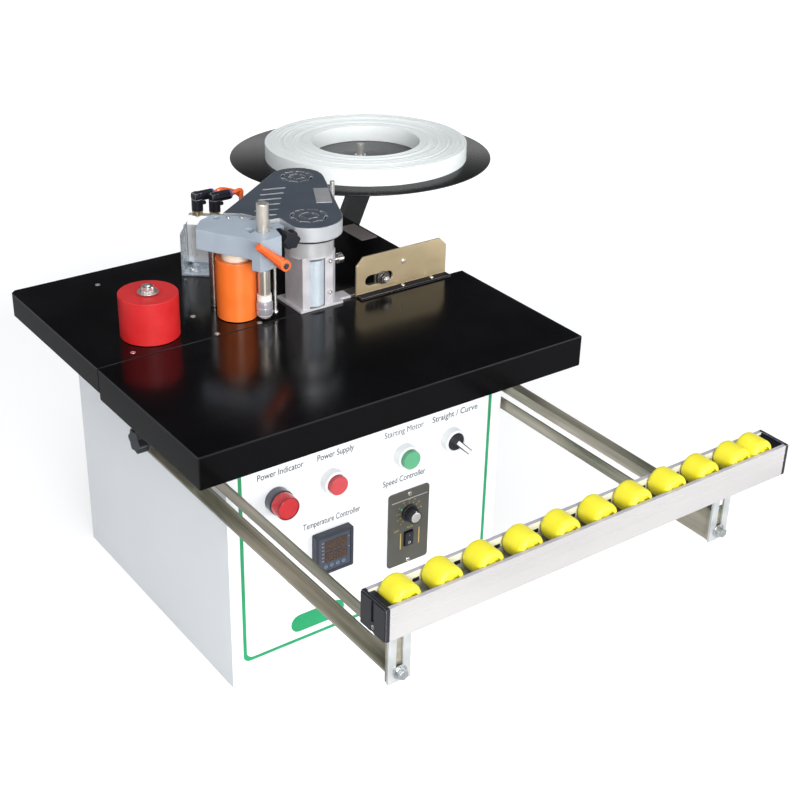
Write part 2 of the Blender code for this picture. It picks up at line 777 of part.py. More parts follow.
# ---------------------------------------------------------------- rear connections
def power_inlet():
    body = box(
        (INLET_X - INLET_WIDTH / 2, BACK - 0.022, INLET_Z - INLET_HEIGHT / 2),
        (INLET_X + INLET_WIDTH / 2, BACK + 0.002, INLET_Z + INLET_HEIGHT / 2),
    )
    flange = box(
        (INLET_X - INLET_FLANGE / 2, BACK + CLEARANCE, INLET_Z - 0.014),
        (INLET_X + INLET_FLANGE / 2, BACK + 0.004, INLET_Z + 0.014),
    )
    recess = box(
        (INLET_X - 0.011, BACK - 0.014, INLET_Z - 0.0075),
        (INLET_X + 0.011, BACK + 0.010, INLET_Z + 0.0075),
    )
    sub_part("power_inlet", BLACK_PLASTIC, body, add=[flange], cut=[recess])


def air_valve():
    front = behind_front(TUBE_DROPS[1]).y - 0.012
    block = box(
        (VALVE_X - 0.014, front, VALVE_Z - VALVE_BLOCK / 2),
        (VALVE_X + 0.014, BACK - SHEET - CLEARANCE, VALVE_Z + VALVE_BLOCK / 2),
    )
    nipple = rod((VALVE_X, BACK - 0.010, VALVE_Z), (VALVE_X, BACK + 0.016, VALVE_Z), AIR_PORT, 16)
    sub_part("air_valve", ALUMINIUM, block, add=[nipple])


# ---------------------------------------------------------------- roller support
def bracket_span(side):
    inner = HALF_WIDTH + BRACKET_OFFSET
    outer = inner + BRACKET_WIDTH
    return (min(side * inner, side * outer), max(side * inner, side * outer))


def support_rail(name, side, standoff, drop, flange_up):
    """An L-section rail with a long slot. The same part serves both sides, turned end for end."""
    web_in = side * (HALF_WIDTH + standoff)
    web_out = web_in + side * RAIL_SHEET
    flange_out = web_in + side * RAIL_FLANGE
    slot_z = TABLE_TOP - drop
    lift = 1 if flange_up else -1
    flange_z = slot_z + lift * SLOT_TO_FLANGE
    free_z = flange_z - lift * RAIL_HEIGHT
    low, high = min(flange_z, free_z), max(flange_z, free_z)
    rear = FRONT + RAIL_REAR
    slot_rear = KNOB_Y + 0.0005
    outline = rectangle((RAIL_FRONT, low), (rear, high))
    opening = slot((FRONT - SLOT_FRONT, slot_z), (slot_rear, slot_z), SLOT_WIDTH)
    web = sheet([outline, opening], min(web_in, web_out), max(web_in, web_out), TO_RIGHT)
    flange = box(
        (min(web_in, flange_out), RAIL_FRONT, min(flange_z, flange_z - lift * RAIL_SHEET)),
        (max(web_in, flange_out), rear, max(flange_z, flange_z - lift * RAIL_SHEET)),
    )
    left, right = bracket_span(side)
    tab = box((left, RAIL_FRONT, BOLT_Z - 0.0095), (right, RAIL_FRONT + RAIL_SHEET, high))
    bolt_x = (left + right) / 2
    face = BRACKET_FRONT - CLEARANCE
    shank = rod((bolt_x, RAIL_FRONT + 0.001, BOLT_Z), (bolt_x, face - 0.001, BOLT_Z), 0.003, 12)
    washer = rod((bolt_x, face, BOLT_Z), (bolt_x, face - 0.0015, BOLT_Z), 0.0075, 16)
    head = rod((bolt_x, face - 0.001, BOLT_Z), (bolt_x, face - 0.0075, BOLT_Z), 0.0052, 6)
    sub_part(name, YELLOW_ZINC, web, add=[flange, tab, shank, washer, head])


def rail_knob(name, side, standoff, drop, turn):
    slot_z = TABLE_TOP - drop
    start = HALF_WIDTH + standoff + RAIL_SHEET + CLEARANCE
    centre = Vector((0, KNOB_Y, slot_z))
    along = 1 if side > 0 else -1
    outline = star((0, 0), KNOB_RADIUS, 6, 0.0035)
    grip = place(sheet([outline], start + 0.011, start + 0.025), turn, centre)
    hub = rod((along * start, KNOB_Y, slot_z), (along * (start + 0.013), KNOB_Y, slot_z), 0.0078, 16)
    stud = rod(
        (along * (HALF_WIDTH - 0.012), KNOB_Y, slot_z),
        (along * (start + 0.002), KNOB_Y, slot_z),
        KNOB_STUD,
        12,
    )
    sub_part(name, BLACK_PLASTIC, grip, add=[hub, stud])


def track_bracket(name, side):
    left, right = bracket_span(side)
    middle = (left + right) / 2
    low, high = TABLE_TOP - BRACKET_DROP, TRACK_TOP - 0.004
    opening = slot((middle, BOLT_Z), (middle, BOLT_Z + BRACKET_SLOT_LENGTH - BRACKET_SLOT), BRACKET_SLOT)
    plate = sheet(
        [rectangle((left, low), (right, high)), opening],
        -BRACKET_FRONT - BRACKET_SHEET,
        -BRACKET_FRONT,
        TO_FRONT,
    )
    rear = BRACKET_FRONT + BRACKET_SHEET
    screws = [
        rod((middle, rear - 0.001, z), (middle, rear + 0.0025, z), 0.0035, 6)
        for z in (TRACK_TOP - 0.010, TRACK_TOP - 0.023)
    ]
    sub_part(name, GREY_ZINC, plate, add=screws)


def roller_positions():
    first = ROLLER_MARGIN - TRACK_HALF
    last = TRACK_HALF - ROLLER_MARGIN - 0.0045
    pitch = (last - ROLLER_LAST_STEP - first) / (ROLLER_COUNT - 2)
    return [*(first + pitch * i for i in range(ROLLER_COUNT - 1)), last]


def roller_track():
    low, high = TRACK_TOP - TRACK_HEIGHT, TRACK_TOP
    floor = high - TRACK_CHANNEL
    front_wall, rear_wall = TRACK_FRONT + TRACK_WALL, TRACK_REAR - TRACK_WALL
    section = [
        (TRACK_FRONT, low),
        (front_wall, low),
        (front_wall, floor - TRACK_FLOOR),
        (rear_wall, floor - TRACK_FLOOR),
        (rear_wall, low),
        (TRACK_REAR, low),
        (TRACK_REAR, high),
        (rear_wall, high),
        (rear_wall, floor),
        (front_wall, floor),
        (front_wall, high),
        (TRACK_FRONT, high),
    ]
    profile = sheet([section], -TRACK_HALF + TRACK_CAP / 2, TRACK_HALF - TRACK_CAP / 2, TO_RIGHT)
    caps = [
        box((x - TRACK_CAP / 2, TRACK_FRONT, low), (x + TRACK_CAP / 2, TRACK_REAR, high))
        for x in (-TRACK_HALF + TRACK_CAP / 2, TRACK_HALF - TRACK_CAP / 2)
    ]
    pin_z = TRACK_TOP - ROLLER_PIN_DROP
    pins = [
        rod((x, front_wall - 0.002, pin_z), (x, rear_wall + 0.002, pin_z), ROLLER_PIN, 8)
        for x in roller_positions()
    ]
    sub_part("roller_track", ALUMINIUM, profile, add=caps + pins)


def track_rollers():
    half = TRACK_DEPTH / 2 - TRACK_WALL - 0.0005
    bore = ROLLER_PIN + 0.0006
    profile = (
        (bore, half),
        (ROLLER_RADIUS - 0.003, half),
        (ROLLER_RADIUS, half - 0.003),
        (ROLLER_RADIUS, 0.003 - half),
        (ROLLER_RADIUS - 0.003, -half),
        (bore, -half),
    )
    y = (TRACK_FRONT + TRACK_REAR) / 2
    for number, x in enumerate(roller_positions(), 1):
        body = turned(profile, (x, y, TRACK_TOP - ROLLER_PIN_DROP), TO_FRONT, 16, ring=True)
        sub_part(f"track_roller_{number:02d}", YELLOW_PLASTIC, body)


# ---------------------------------------------------------------- rollers and pressure arm
def red_roller():
    profile = (
        (0.007, RED_HEIGHT),
        (RED_RADIUS - 0.001, RED_HEIGHT),
        (RED_RADIUS, RED_HEIGHT - 0.001),
        (RED_RADIUS, 0.0016),
        (RED_RADIUS - 0.001, 0.0006),
        (0.007, 0.0006),
    )
    sub_part("red_roller", RED_RUBBER, turned(profile, behind_front(RED_ROLLER), sides=32, ring=True))


def red_roller_axle():
    head = RED_HEIGHT + CLEARANCE
    profile = (
        (0, head + 0.0015),
        (0.012, head + 0.0015),
        (0.012, head),
        (0.006, head),
        (0.006, CLEARANCE),
        (0, CLEARANCE),
    )
    spot = behind_front(RED_ROLLER)
    nut = rod(spot + Vector((0, 0, head)), spot + Vector((0, 0, head + 0.008)), 0.0075, 6)
    sub_part("red_roller_axle", STEEL, turned(profile, spot), add=[nut])


def press_roller():
    profile = (
        (0, ARM_BOTTOM + 0.018),
        (PRESS_SHAFT, ARM_BOTTOM + 0.018),
        (PRESS_SHAFT, PRESS_HEIGHT + PRESS_COLLAR),
        (0.0172, PRESS_HEIGHT + PRESS_COLLAR),
        (0.0175, PRESS_HEIGHT),
        (PRESS_RADIUS - 0.001, PRESS_HEIGHT),
        (PRESS_RADIUS, PRESS_HEIGHT - 0.001),
        (PRESS_RADIUS, 0.0016),
        (PRESS_RADIUS - 0.001, 0.0008),
        (0, 0.0008),
    )
    sub_part("press_roller", ORANGE_RUBBER, turned(profile, behind_front(PRESS_ROLLER), sides=28))


def from_front(outline):
    return [(x, FRONT + y) for x, y in outline]


def support_arm():
    bottom, top = TABLE_TOP + ARM_BOTTOM, TABLE_TOP + HEAD_TOP
    plate = sheet([from_front(ARM_OUTLINE)], bottom, top)
    block = sheet([from_front(BLOCK_OUTLINE)], bottom - BLOCK_DROP, top - 0.001)
    post = rod(behind_front(POST, CLEARANCE), behind_front(POST, ARM_BOTTOM + 0.002), POST_RADIUS, 16)
    probe = rod(behind_front(PROBE, 0.005), behind_front(PROBE, ARM_BOTTOM), PROBE_RADIUS, 8)
    half_turn = [math.pi * i / 6 for i in range(7)]
    ball = turned(
        [(PROBE_BALL * math.sin(t), PROBE_BALL * math.cos(t)) for t in half_turn],
        behind_front(PROBE, 0.0062),
        sides=12,
    )
    lug = box(
        behind_front((-0.020, LUG_FRONT), LUG_HEIGHT - 0.006),
        behind_front((0, LUG_REAR), LUG_HEIGHT + 0.006),
    )
    bore = rod(
        behind_front(GUIDE, ARM_BOTTOM - 0.03),
        behind_front(GUIDE, HEAD_TOP + 0.01),
        GUIDE_RADIUS + 0.0004,
    )
    bearing = rod(
        behind_front(PRESS_ROLLER, ARM_BOTTOM - 0.01),
        behind_front(PRESS_ROLLER, ARM_BOTTOM + 0.018 + CLEARANCE),
        PRESS_SHAFT + 0.0005,
    )
    knob_hole = rod(
        behind_front((LUG_X, LUG_FRONT - 0.01), LUG_HEIGHT),
        behind_front((LUG_X, LUG_REAR + 0.01), LUG_HEIGHT),
        STUD_HOLE,
        12,
    )
    pivot_x, pivot_z = LEVER_PIVOT
    lever_hole = rod(
        behind_front((pivot_x, LEVER_Y - 0.001), pivot_z),
        behind_front((pivot_x, LEVER_Y + 0.0235), pivot_z),
        STUD_HOLE,
        12,
    )
    sub_part(
        "support_arm",
        GREY_PAINT,
        plate,
        add=[block, post, probe, ball, lug],
        cut=[bore, bearing, knob_hole, lever_hole],
    )


def guide_shaft():
    neck = GUIDE_RADIUS - 0.002
    nose = 0.008
    nose_turn = [math.pi * i / 8 for i in (1, 2, 3)]
    profile = [
        (0, GUIDE_HEIGHT),
        (GUIDE_RADIUS - 0.0008, GUIDE_HEIGHT),
        (GUIDE_RADIUS, GUIDE_HEIGHT - 0.0008),
        (GUIDE_RADIUS, 0.033),
        (0.0088, 0.033),
        (0.0088, 0.0252),
        (neck, 0.0252),
        (neck, 0.0052),
        (nose, 0.0052),
        *((nose * math.cos(t), 0.0052 - 0.0046 * math.sin(t)) for t in nose_turn),
        (0, 0.0006),
    ]
    sub_part("guide_shaft", STEEL, turned(profile, behind_front(GUIDE)))


def guide_bearing():
    bore = GUIDE_RADIUS - 0.002 + 0.0004
    profile = (
        (bore, 0.0249),
        (BEARING_RADIUS - 0.001, 0.0249),
        (BEARING_RADIUS, 0.0239),
        (BEARING_RADIUS, 0.0065),
        (BEARING_RADIUS - 0.001, 0.0055),
        (bore, 0.0055),
    )
    sub_part("guide_bearing", STEEL, turned(profile, behind_front(GUIDE), ring=True))


def clamp_lever():
    pivot_x, pivot_z = LEVER_PIVOT
    centre = behind_front((pivot_x, LEVER_Y), pivot_z)
    hub = rod(centre - Vector((0, 0.007, 0)), centre + Vector((0, 0.0078, 0)), 0.0068, 20)
    tip = centre + Vector((-0.034, -0.003, 0.030))
    handle = rod(centre - Vector((0, 0.0005, 0)), tip, 0.0062, 8, 0.0042)
    stud = rod(centre + Vector((0, 0.006, 0)), centre + Vector((0, 0.0225, 0)), STUD_RADIUS, 12)
    sub_part("clamp_lever", ORANGE_PLASTIC, hub, origin=centre, add=[handle, stud])


def arm_star_knob():
    centre = behind_front((LUG_X, STAR_KNOB_Y), LUG_HEIGHT)
    grip = place(sheet([star((0, 0), STAR_KNOB_RADIUS, 6, 0.0025)], -0.006, 0.006), TO_FRONT, centre)
    hub = rod(centre, behind_front((LUG_X, LUG_FRONT - CLEARANCE), LUG_HEIGHT), 0.0055, 16)
    stud = rod(centre, behind_front((LUG_X, LUG_REAR - 0.001), LUG_HEIGHT), STUD_RADIUS, 12)
    sub_part("arm_star_knob", BLACK_PLASTIC, grip, add=[hub, stud])


# ---------------------------------------------------------------- glue head and drive
def glue_housing():
    low = TABLE_TOP + CLEARANCE
    flange = sheet(
        [from_front(rectangle((POT_LEFT - 0.004, POT_FRONT - 0.002), (POT_RIGHT + 0.004, POT_REAR + 0.004)))],
        low,
        low + FLANGE_THICKNESS,
    )
    corner = 0.010
    plan = (
        (POT_LEFT, POT_FRONT),
        (POT_RIGHT - corner, POT_FRONT),
        (POT_RIGHT, POT_FRONT + corner),
        (POT_RIGHT, POT_REAR - corner),
        (POT_RIGHT - corner, POT_REAR),
        (POT_LEFT + corner, POT_REAR),
        (POT_LEFT, POT_REAR - corner),
    )
    block = sheet([from_front(plan)], low + 0.001, TABLE_TOP + POT_LOW)
    ring = rod(behind_front(POT_AXIS, POT_LOW - 0.002), behind_front(POT_AXIS, POT_TOP), POT_RADIUS, 32)
    bracket_y = FRONT + FENCE_SETBACK + FENCE_SHEET + CLEARANCE
    foot = box(
        (POT_RIGHT - 0.002, bracket_y, low),
        (FENCE_BOLT_X + 0.010, bracket_y + 0.018, low + FLANGE_THICKNESS),
    )
    upright = box(
        (FENCE_BOLT_X - 0.010, bracket_y, low),
        (FENCE_BOLT_X + 0.010, bracket_y + 0.003, TABLE_TOP + FENCE_SLOT_RISE + 0.008),
    )
    bolt_z = TABLE_TOP + FENCE_SLOT_RISE
    fence_front = FRONT + FENCE_SETBACK - CLEARANCE

    def on_bolt(y):
        return (FENCE_BOLT_X, y, bolt_z)

    shank = rod(on_bolt(bracket_y + 0.001), on_bolt(fence_front - 0.001), 0.004, 12)
    washer = rod(on_bolt(fence_front), on_bolt(fence_front - 0.0015), 0.0088, 16)
    head = rod(on_bolt(fence_front - 0.001), on_bolt(fence_front - 0.0065), 0.0065, 6)
    screw_y = FRONT + POT_FRONT + 0.020
    feed_z = TABLE_TOP + 0.050
    feed_shaft = rod((POT_RIGHT - 0.002, screw_y, feed_z), (POT_RIGHT + 0.018, screw_y, feed_z), 0.003, 12)
    feed_knob = rod((POT_RIGHT + 0.009, screw_y, feed_z), (POT_RIGHT + 0.016, screw_y, feed_z), 0.0062, 12)
    chamber = rod(
        behind_front(GLUE_AXIS, FLANGE_THICKNESS),
        behind_front(GLUE_AXIS, POT_LOW - 0.004),
        GLUE_RADIUS + 0.0008,
    )
    neck = rod(behind_front(GLUE_AXIS, 0), behind_front(GLUE_AXIS, POT_TOP + 0.01), SHAFT_RADIUS - 0.0005, 16)
    sub_part(
        "glue_housing",
        CAST_ALUMINIUM,
        block,
        add=[flange, ring, foot, upright, shank, washer, head, feed_shaft, feed_knob],
        cut=[chamber, neck],
    )


def glue_roller():
    shaft = SHAFT_RADIUS - 0.001
    sprocket = CHAIN_Z - TABLE_TOP
    profile = (
        (0, sprocket + SPROCKET_THICKNESS + 0.003),
        (shaft, sprocket + SPROCKET_THICKNESS + 0.003),
        (shaft, sprocket + SPROCKET_THICKNESS),
        (SPROCKET_RADIUS, sprocket + SPROCKET_THICKNESS),
        (SPROCKET_RADIUS, sprocket),
        (shaft, sprocket),
        (shaft, POT_LOW - 0.0055),
        (GLUE_RADIUS, POT_LOW - 0.0055),
        (GLUE_RADIUS, 0.005),
        (0, 0.005),
    )
    sub_part("glue_roller", STEEL, turned(profile, behind_front(GLUE_AXIS)))


def tangent_angle(centre, radius, point, side):
    """The angle on the circle where a line from the point touches it, on the side of +1 or -1."""
    away = Vector((point[0] - centre[0], point[1] - centre[1]))
    return math.degrees(math.atan2(away.y, away.x) + side * math.acos(radius / away.length))


def cover_outline():
    """Two round lobes, over the glue shaft and over the motor shaft, and a corner beside the arm."""
    lean = math.degrees(math.atan2(MOTOR_AXIS[1] - POT_AXIS[1], MOTOR_AXIS[0] - POT_AXIS[0])) - 90
    corner = (-0.0450, 0.2520)
    left = tangent_angle(MOTOR_AXIS, REAR_LOBE, corner, -1)
    outline = arc(POT_AXIS, FRONT_LOBE, -147, lean, 9)
    outline += arc(MOTOR_AXIS, REAR_LOBE, lean, left % 360, 9)
    outline += [corner, (-0.0270, 0.2380), (-0.0090, 0.2030), (0.0030, 0.2020), (0.0030, 0.1680)]
    return from_front(outline)


def drive_plate():
    low = TABLE_TOP + POT_TOP + CLEARANCE
    outline = inset(cover_outline(), COVER_SHEET + 0.001)
    glue_hole = circle(behind_front(GLUE_AXIS)[:2], SHAFT_RADIUS, 16)
    motor_hole = circle(behind_front(MOTOR_AXIS)[:2], SHAFT_RADIUS + 0.0015, 16)
    plate = sheet([outline, glue_hole, motor_hole], low, low + PLATE_THICKNESS)
    column = turned(
        (
            (SHAFT_RADIUS + 0.0015, POT_TOP + 0.002),
            (COLUMN_RADIUS, POT_TOP + 0.002),
            (COLUMN_RADIUS, CLEARANCE),
            (SHAFT_RADIUS + 0.0015, CLEARANCE),
        ),
        behind_front(MOTOR_AXIS),
        sides=16,
        ring=True,
    )
    sub_part("drive_plate", DARK_STEEL, plate, add=[column])


def drive_shaft():
    sprocket = CHAIN_Z - TABLE_TOP
    profile = (
        (0, sprocket + SPROCKET_THICKNESS + 0.003),
        (SHAFT_RADIUS, sprocket + SPROCKET_THICKNESS + 0.003),
        (SHAFT_RADIUS, sprocket + SPROCKET_THICKNESS),
        (SPROCKET_RADIUS, sprocket + SPROCKET_THICKNESS),
        (SPROCKET_RADIUS, sprocket),
        (SHAFT_RADIUS, sprocket),
        (SHAFT_RADIUS, -SHAFT_DEPTH),
        (0, -SHAFT_DEPTH),
    )
    sub_part("drive_shaft", STEEL, turned(profile, behind_front(MOTOR_AXIS)))


def drive_chain():
    glue, motor = behind_front(GLUE_AXIS), behind_front(MOTOR_AXIS)
    inner = 2 * (SPROCKET_RADIUS + CLEARANCE)
    loops = [slot(glue[:2], motor[:2], width, 10) for width in (inner + 2 * CHAIN_WIDTH, inner)]
    chain = sheet(loops, CHAIN_Z - 0.0005, CHAIN_Z + SPROCKET_THICKNESS + 0.0005)
    sub_part("drive_chain", DARK_STEEL, chain)


def ring_of_vents(axis, radius, count, size):
    """Short slots in a circle, and a smaller circle of them inside it."""
    centre = behind_front(axis)[:2]
    vents = []
    for ring_radius, number in ((radius, count), (radius * 0.45, count // 2)):
        for i in range(number):
            turn = 2 * math.pi * i / number
            middle = Vector(centre) + ring_radius * Vector((math.cos(turn), math.sin(turn)))
            along = Vector((-math.sin(turn), math.cos(turn))) * size / 2
            vents.append(slot(middle - along, middle + along, 0.0030, 2))
    return vents


def louvres():
    """Six slots across the part of the cover that lies left of the shafts."""
    slots = []
    for i in range(6):
        y = FRONT + 0.218 + 0.0145 * i
        x = -0.008 + 0.0115 * i
        slots.append(slot((x - 0.013, y + 0.004), (x + 0.013, y - 0.004), 0.0030, 2))
    return slots


def head_cover():
    outline = cover_outline()
    top = TABLE_TOP + HEAD_TOP
    roof = sheet([outline], top - COVER_RIM, top)
    hollow = sheet([inset(outline, COVER_SHEET)], top - COVER_RIM - 0.002, top - COVER_SHEET)
    holes = [sheet([vent], top - 0.010, top + 0.010) for vent in louvres()]
    holes += [sheet([vent], top - 0.010, top + 0.010) for vent in ring_of_vents(POT_AXIS, 0.0205, 8, 0.010)]
    holes += [sheet([vent], top - 0.010, top + 0.010) for vent in ring_of_vents(MOTOR_AXIS, 0.0185, 8, 0.009)]
    sub_part("head_cover", GREY_PAINT, roof, cut=[hollow, *holes])


def gear_motor():
    x, y = behind_front(MOTOR_AXIS)[:2]
    low = SHELL_TOP - GEARBOX_HEIGHT
    gearbox = box((x - GEARBOX, y - GEARBOX, low), (x + GEARBOX, y + GEARBOX, SHELL_TOP))
    can = rod((x, y, low + 0.001), (x, y, low - MOTOR_LENGTH), MOTOR_RADIUS)
    bore = rod((x, y, TABLE_TOP), (x, y, TABLE_TOP - SHAFT_DEPTH - 0.0005), SHAFT_RADIUS + 0.0008, 16)
    sub_part("gear_motor", DARK_STEEL, gearbox, add=[can], cut=[bore])


# ---------------------------------------------------------------- tape cutter
CUTTER_TURN = Matrix.Rotation(CUTTER_HEADING, 3, "Z")
CUTTER_BASE = behind_front(CUTTER_CORNER)


def at_cutter(tool):
    """Moves a helper from the cutter's own axes, along and across the cylinder, to its place on the table."""
    return place(tool, CUTTER_TURN, CUTTER_BASE)


def port_centres():
    return [CUTTER_BASE + CUTTER_TURN @ Vector((x, CYLINDER_DEPTH / 2, CYLINDER_TOP)) for x in PORT_OFFSETS]


def cutter_mount():
    low = CLEARANCE
    front, rear = -MOUNT_REACH, CYLINDER_DEPTH
    left = -CLEARANCE - MOUNT_SHEET
    foot = at_cutter(box((left, front, low), (CYLINDER_LENGTH, rear, low + MOUNT_SHEET)))
    wall = at_cutter(box((left, front, low), (-CLEARANCE, rear, MOUNT_HEIGHT)))
    riser = at_cutter(
        box((0.004, 0.002, low + 0.001), (CYLINDER_LENGTH - 0.002, rear - 0.002, CYLINDER_LOW - CLEARANCE))
    )
    screw = at_cutter(rod((0.0125, front / 2, low + 0.001), (0.0125, front / 2, low + 0.010), 0.0042, 12))
    washer = at_cutter(rod((0.0125, front / 2, low + 0.001), (0.0125, front / 2, low + 0.0045), 0.0070, 16))
    bolt_z = MOUNT_HEIGHT - 0.008
    side_bolt = at_cutter(rod((left - 0.004, rear / 2, bolt_z), (left + 0.001, rear / 2, bolt_z), 0.0048, 6))
    sub_part("cutter_mount", GREY_ZINC, foot, add=[wall, riser, screw, washer, side_bolt])


def cutter_cylinder():
    shoulder = CYLINDER_TOP - CYLINDER_CHAMFER
    section = [
        (0, CYLINDER_LOW),
        (CYLINDER_DEPTH, CYLINDER_LOW),
        (CYLINDER_DEPTH, shoulder),
        (CYLINDER_DEPTH - CYLINDER_CHAMFER, CYLINDER_TOP),
        (CYLINDER_CHAMFER, CYLINDER_TOP),
        (0, shoulder),
    ]
    body = at_cutter(sheet([section], 0, CYLINDER_LENGTH, TO_RIGHT))
    adds = []
    for port in port_centres():
        bend = port + Vector((0, 0, ELBOW_RISE))
        inner_end = bend - Vector((ELBOW_RADIUS - 0.001, 0, 0))
        nut = rod(port - Vector((0, 0, 0.001)), port + Vector((0, 0, 0.006)), 0.0066, 6)
        body_low, body_high = port + Vector((0, 0, 0.005)), bend - Vector((0, 0, 0.003))
        neck_low, neck_high = bend - Vector((0, 0, 0.004)), bend + Vector((0, 0, 0.0052))
        adds += [
            nut,
            rod(body_low, body_high, ELBOW_RADIUS + 0.0009, 16),
            rod(neck_low, neck_high, ELBOW_RADIUS - 0.0004, 14),
            rod(inner_end, bend + Vector((ELBOW_REACH, 0, 0)), ELBOW_RADIUS, 16),
        ]
    bore = at_cutter(
        rod(
            (CYLINDER_LENGTH - 0.034, CYLINDER_DEPTH / 2, ROD_HEIGHT),
            (CYLINDER_LENGTH + 0.010, CYLINDER_DEPTH / 2, ROD_HEIGHT),
            ROD_RADIUS + 0.0006,
            16,
        )
    )
    sub_part("cutter_cylinder", ALUMINIUM, body, add=adds, cut=[bore])


def cutter_blade():
    tip = CYLINDER_LENGTH + ROD_REACH
    middle = CYLINDER_DEPTH / 2
    back = CYLINDER_LENGTH - 0.032
    stem = at_cutter(rod((back, middle, ROD_HEIGHT), (tip, middle, ROD_HEIGHT), ROD_RADIUS, 12))
    blade = at_cutter(
        box(
            (tip - 0.012, middle - 0.0015, ROD_HEIGHT - 0.022),
            (tip + 0.014, middle + 0.0015, ROD_HEIGHT + 0.010),
        )
    )
    sub_part("cutter_blade", STEEL, stem, add=[blade])


def air_tubes():
    for name, port, drop in zip(("air_tube_left", "air_tube_right"), port_centres(), TUBE_DROPS):
        start = port + Vector((ELBOW_REACH + CLEARANCE, 0, ELBOW_RISE))
        down = behind_front(drop)
        end = Vector((down.x, down.y, VALVE_Z + VALVE_BLOCK / 2 + CLEARANCE))
        outlet = start + Vector((0.004, 0, 0))
        crest = start + Vector((0.016, -0.002, 0.003))
        shoulder = Vector((down.x - 0.004, (down.y + start.y) / 2, start.z - 0.010))
        bend = Vector((down.x, down.y, TABLE_TOP + 0.045))
        straight = Vector((down.x, down.y, TABLE_TOP + 0.010))
        route = [start, *curve_through([outlet, crest, shoulder, bend, straight, end], 5)]
        sub_part(name, ORANGE_PLASTIC, tube(route, TUBE_RADIUS))


# ---------------------------------------------------------------- tape fence
def tape_fence():
    low = TABLE_TOP + CLEARANCE
    corner = 0.010
    top = TABLE_TOP + FENCE_HEIGHT
    outline = [
        (FENCE_LEFT, low),
        (FENCE_RIGHT, low),
        (FENCE_RIGHT, top - corner),
        (FENCE_RIGHT - corner, top),
        (FENCE_LEFT + corner, top),
        (FENCE_LEFT, top - corner),
    ]
    slot_z = TABLE_TOP + FENCE_SLOT_RISE
    slot_middle = FENCE_BOLT_X - FENCE_SLOT_SHIFT
    reach = (FENCE_SLOT - FENCE_SLOT_HEIGHT) / 2
    opening = slot((slot_middle - reach, slot_z), (slot_middle + reach, slot_z), FENCE_SLOT_HEIGHT)
    face = FRONT + FENCE_SETBACK
    plate = sheet([outline, opening], -face - FENCE_SHEET, -face, TO_FRONT)
    fold = box((FENCE_LEFT, face - 0.012, low), (FENCE_RIGHT, face + 0.001, low + FENCE_SHEET))
    sub_part("tape_fence", BRASS, plate, add=[fold])


# ---------------------------------------------------------------- tape reel
REEL_TURN = Vector((0, 0, 1)).rotation_difference(Vector((*REEL_TILT, 1))).to_matrix()
REEL_CENTRE = Vector((REEL_X, REEL_Y, REEL_Z))


def reel_arm():
    beam_z = TABLE_TOP - BEAM_DROP
    beam_y = BACK + CLEARANCE
    knee = Vector((REEL_X - KNEE_INSET, REEL_Y, beam_z))
    top_z = REEL_Z - 0.010
    head = Vector((knee.x + BAR_SHIFT, REEL_Y, top_z))
    beam = box((0.100, beam_y, beam_z - BEAM / 2), (knee.x + 0.013, beam_y + BEAM, beam_z + BEAM / 2))
    link = box(
        (knee.x - 0.013, beam_y + 0.002, beam_z - BEAM / 2),
        (knee.x + 0.013, REEL_Y + BAR_THICKNESS / 2, beam_z + BEAM / 2),
    )
    half = BAR_WIDTH / 2
    lean = [
        (knee.x - half, beam_z),
        (knee.x + half, beam_z),
        (head.x + half, top_z),
        (head.x - half, top_z),
    ]
    bar = sheet([lean], -REEL_Y - BAR_THICKNESS / 2, BAR_THICKNESS / 2 - REEL_Y, TO_FRONT)
    pad = box((REEL_X - 0.020, REEL_Y - 0.020, top_z - 0.004), (head.x + half, REEL_Y + 0.020, top_z + 0.001))
    spindle = turned(
        (
            (0, SPINDLE_HEIGHT),
            (SPINDLE_RADIUS, SPINDLE_HEIGHT),
            (SPINDLE_RADIUS, -0.003),
            (0.014, -0.003),
            (0.014, -0.011),
            (0, -0.011),
        ),
        REEL_CENTRE,
        REEL_TURN,
        sides=16,
    )
    sub_part("reel_arm", BLACK_PAINT, bar, add=[beam, link, pad, spindle])


def reel_disc():
    hub = 0.013
    bore = SPINDLE_RADIUS + 0.0005
    profile = (
        (bore, 0.008),
        (hub, 0.008),
        (hub, REEL_SHEET),
        (REEL_RADIUS - 0.0006, REEL_SHEET),
        (REEL_RADIUS, REEL_SHEET - 0.0006),
        (REEL_RADIUS, 0),
        (hub + 0.015, 0),
        (hub + 0.012, -0.0025),
        (bore, -0.0025),
    )
    sub_part("reel_disc", BLACK_PAINT, turned(profile, REEL_CENTRE, REEL_TURN, 48, ring=True))


def tape_roll():
    low = REEL_SHEET + CLEARANCE
    high = low + TAPE_WIDTH
    profile = ((TAPE_INNER, high), (TAPE_OUTER, high), (TAPE_OUTER, low), (TAPE_INNER, low))
    spot = REEL_CENTRE + REEL_TURN @ Vector((*TAPE_OFFSET, 0))
    sub_part("tape_roll", WHITE_TAPE, turned(profile, spot, REEL_TURN, 48, ring=True))


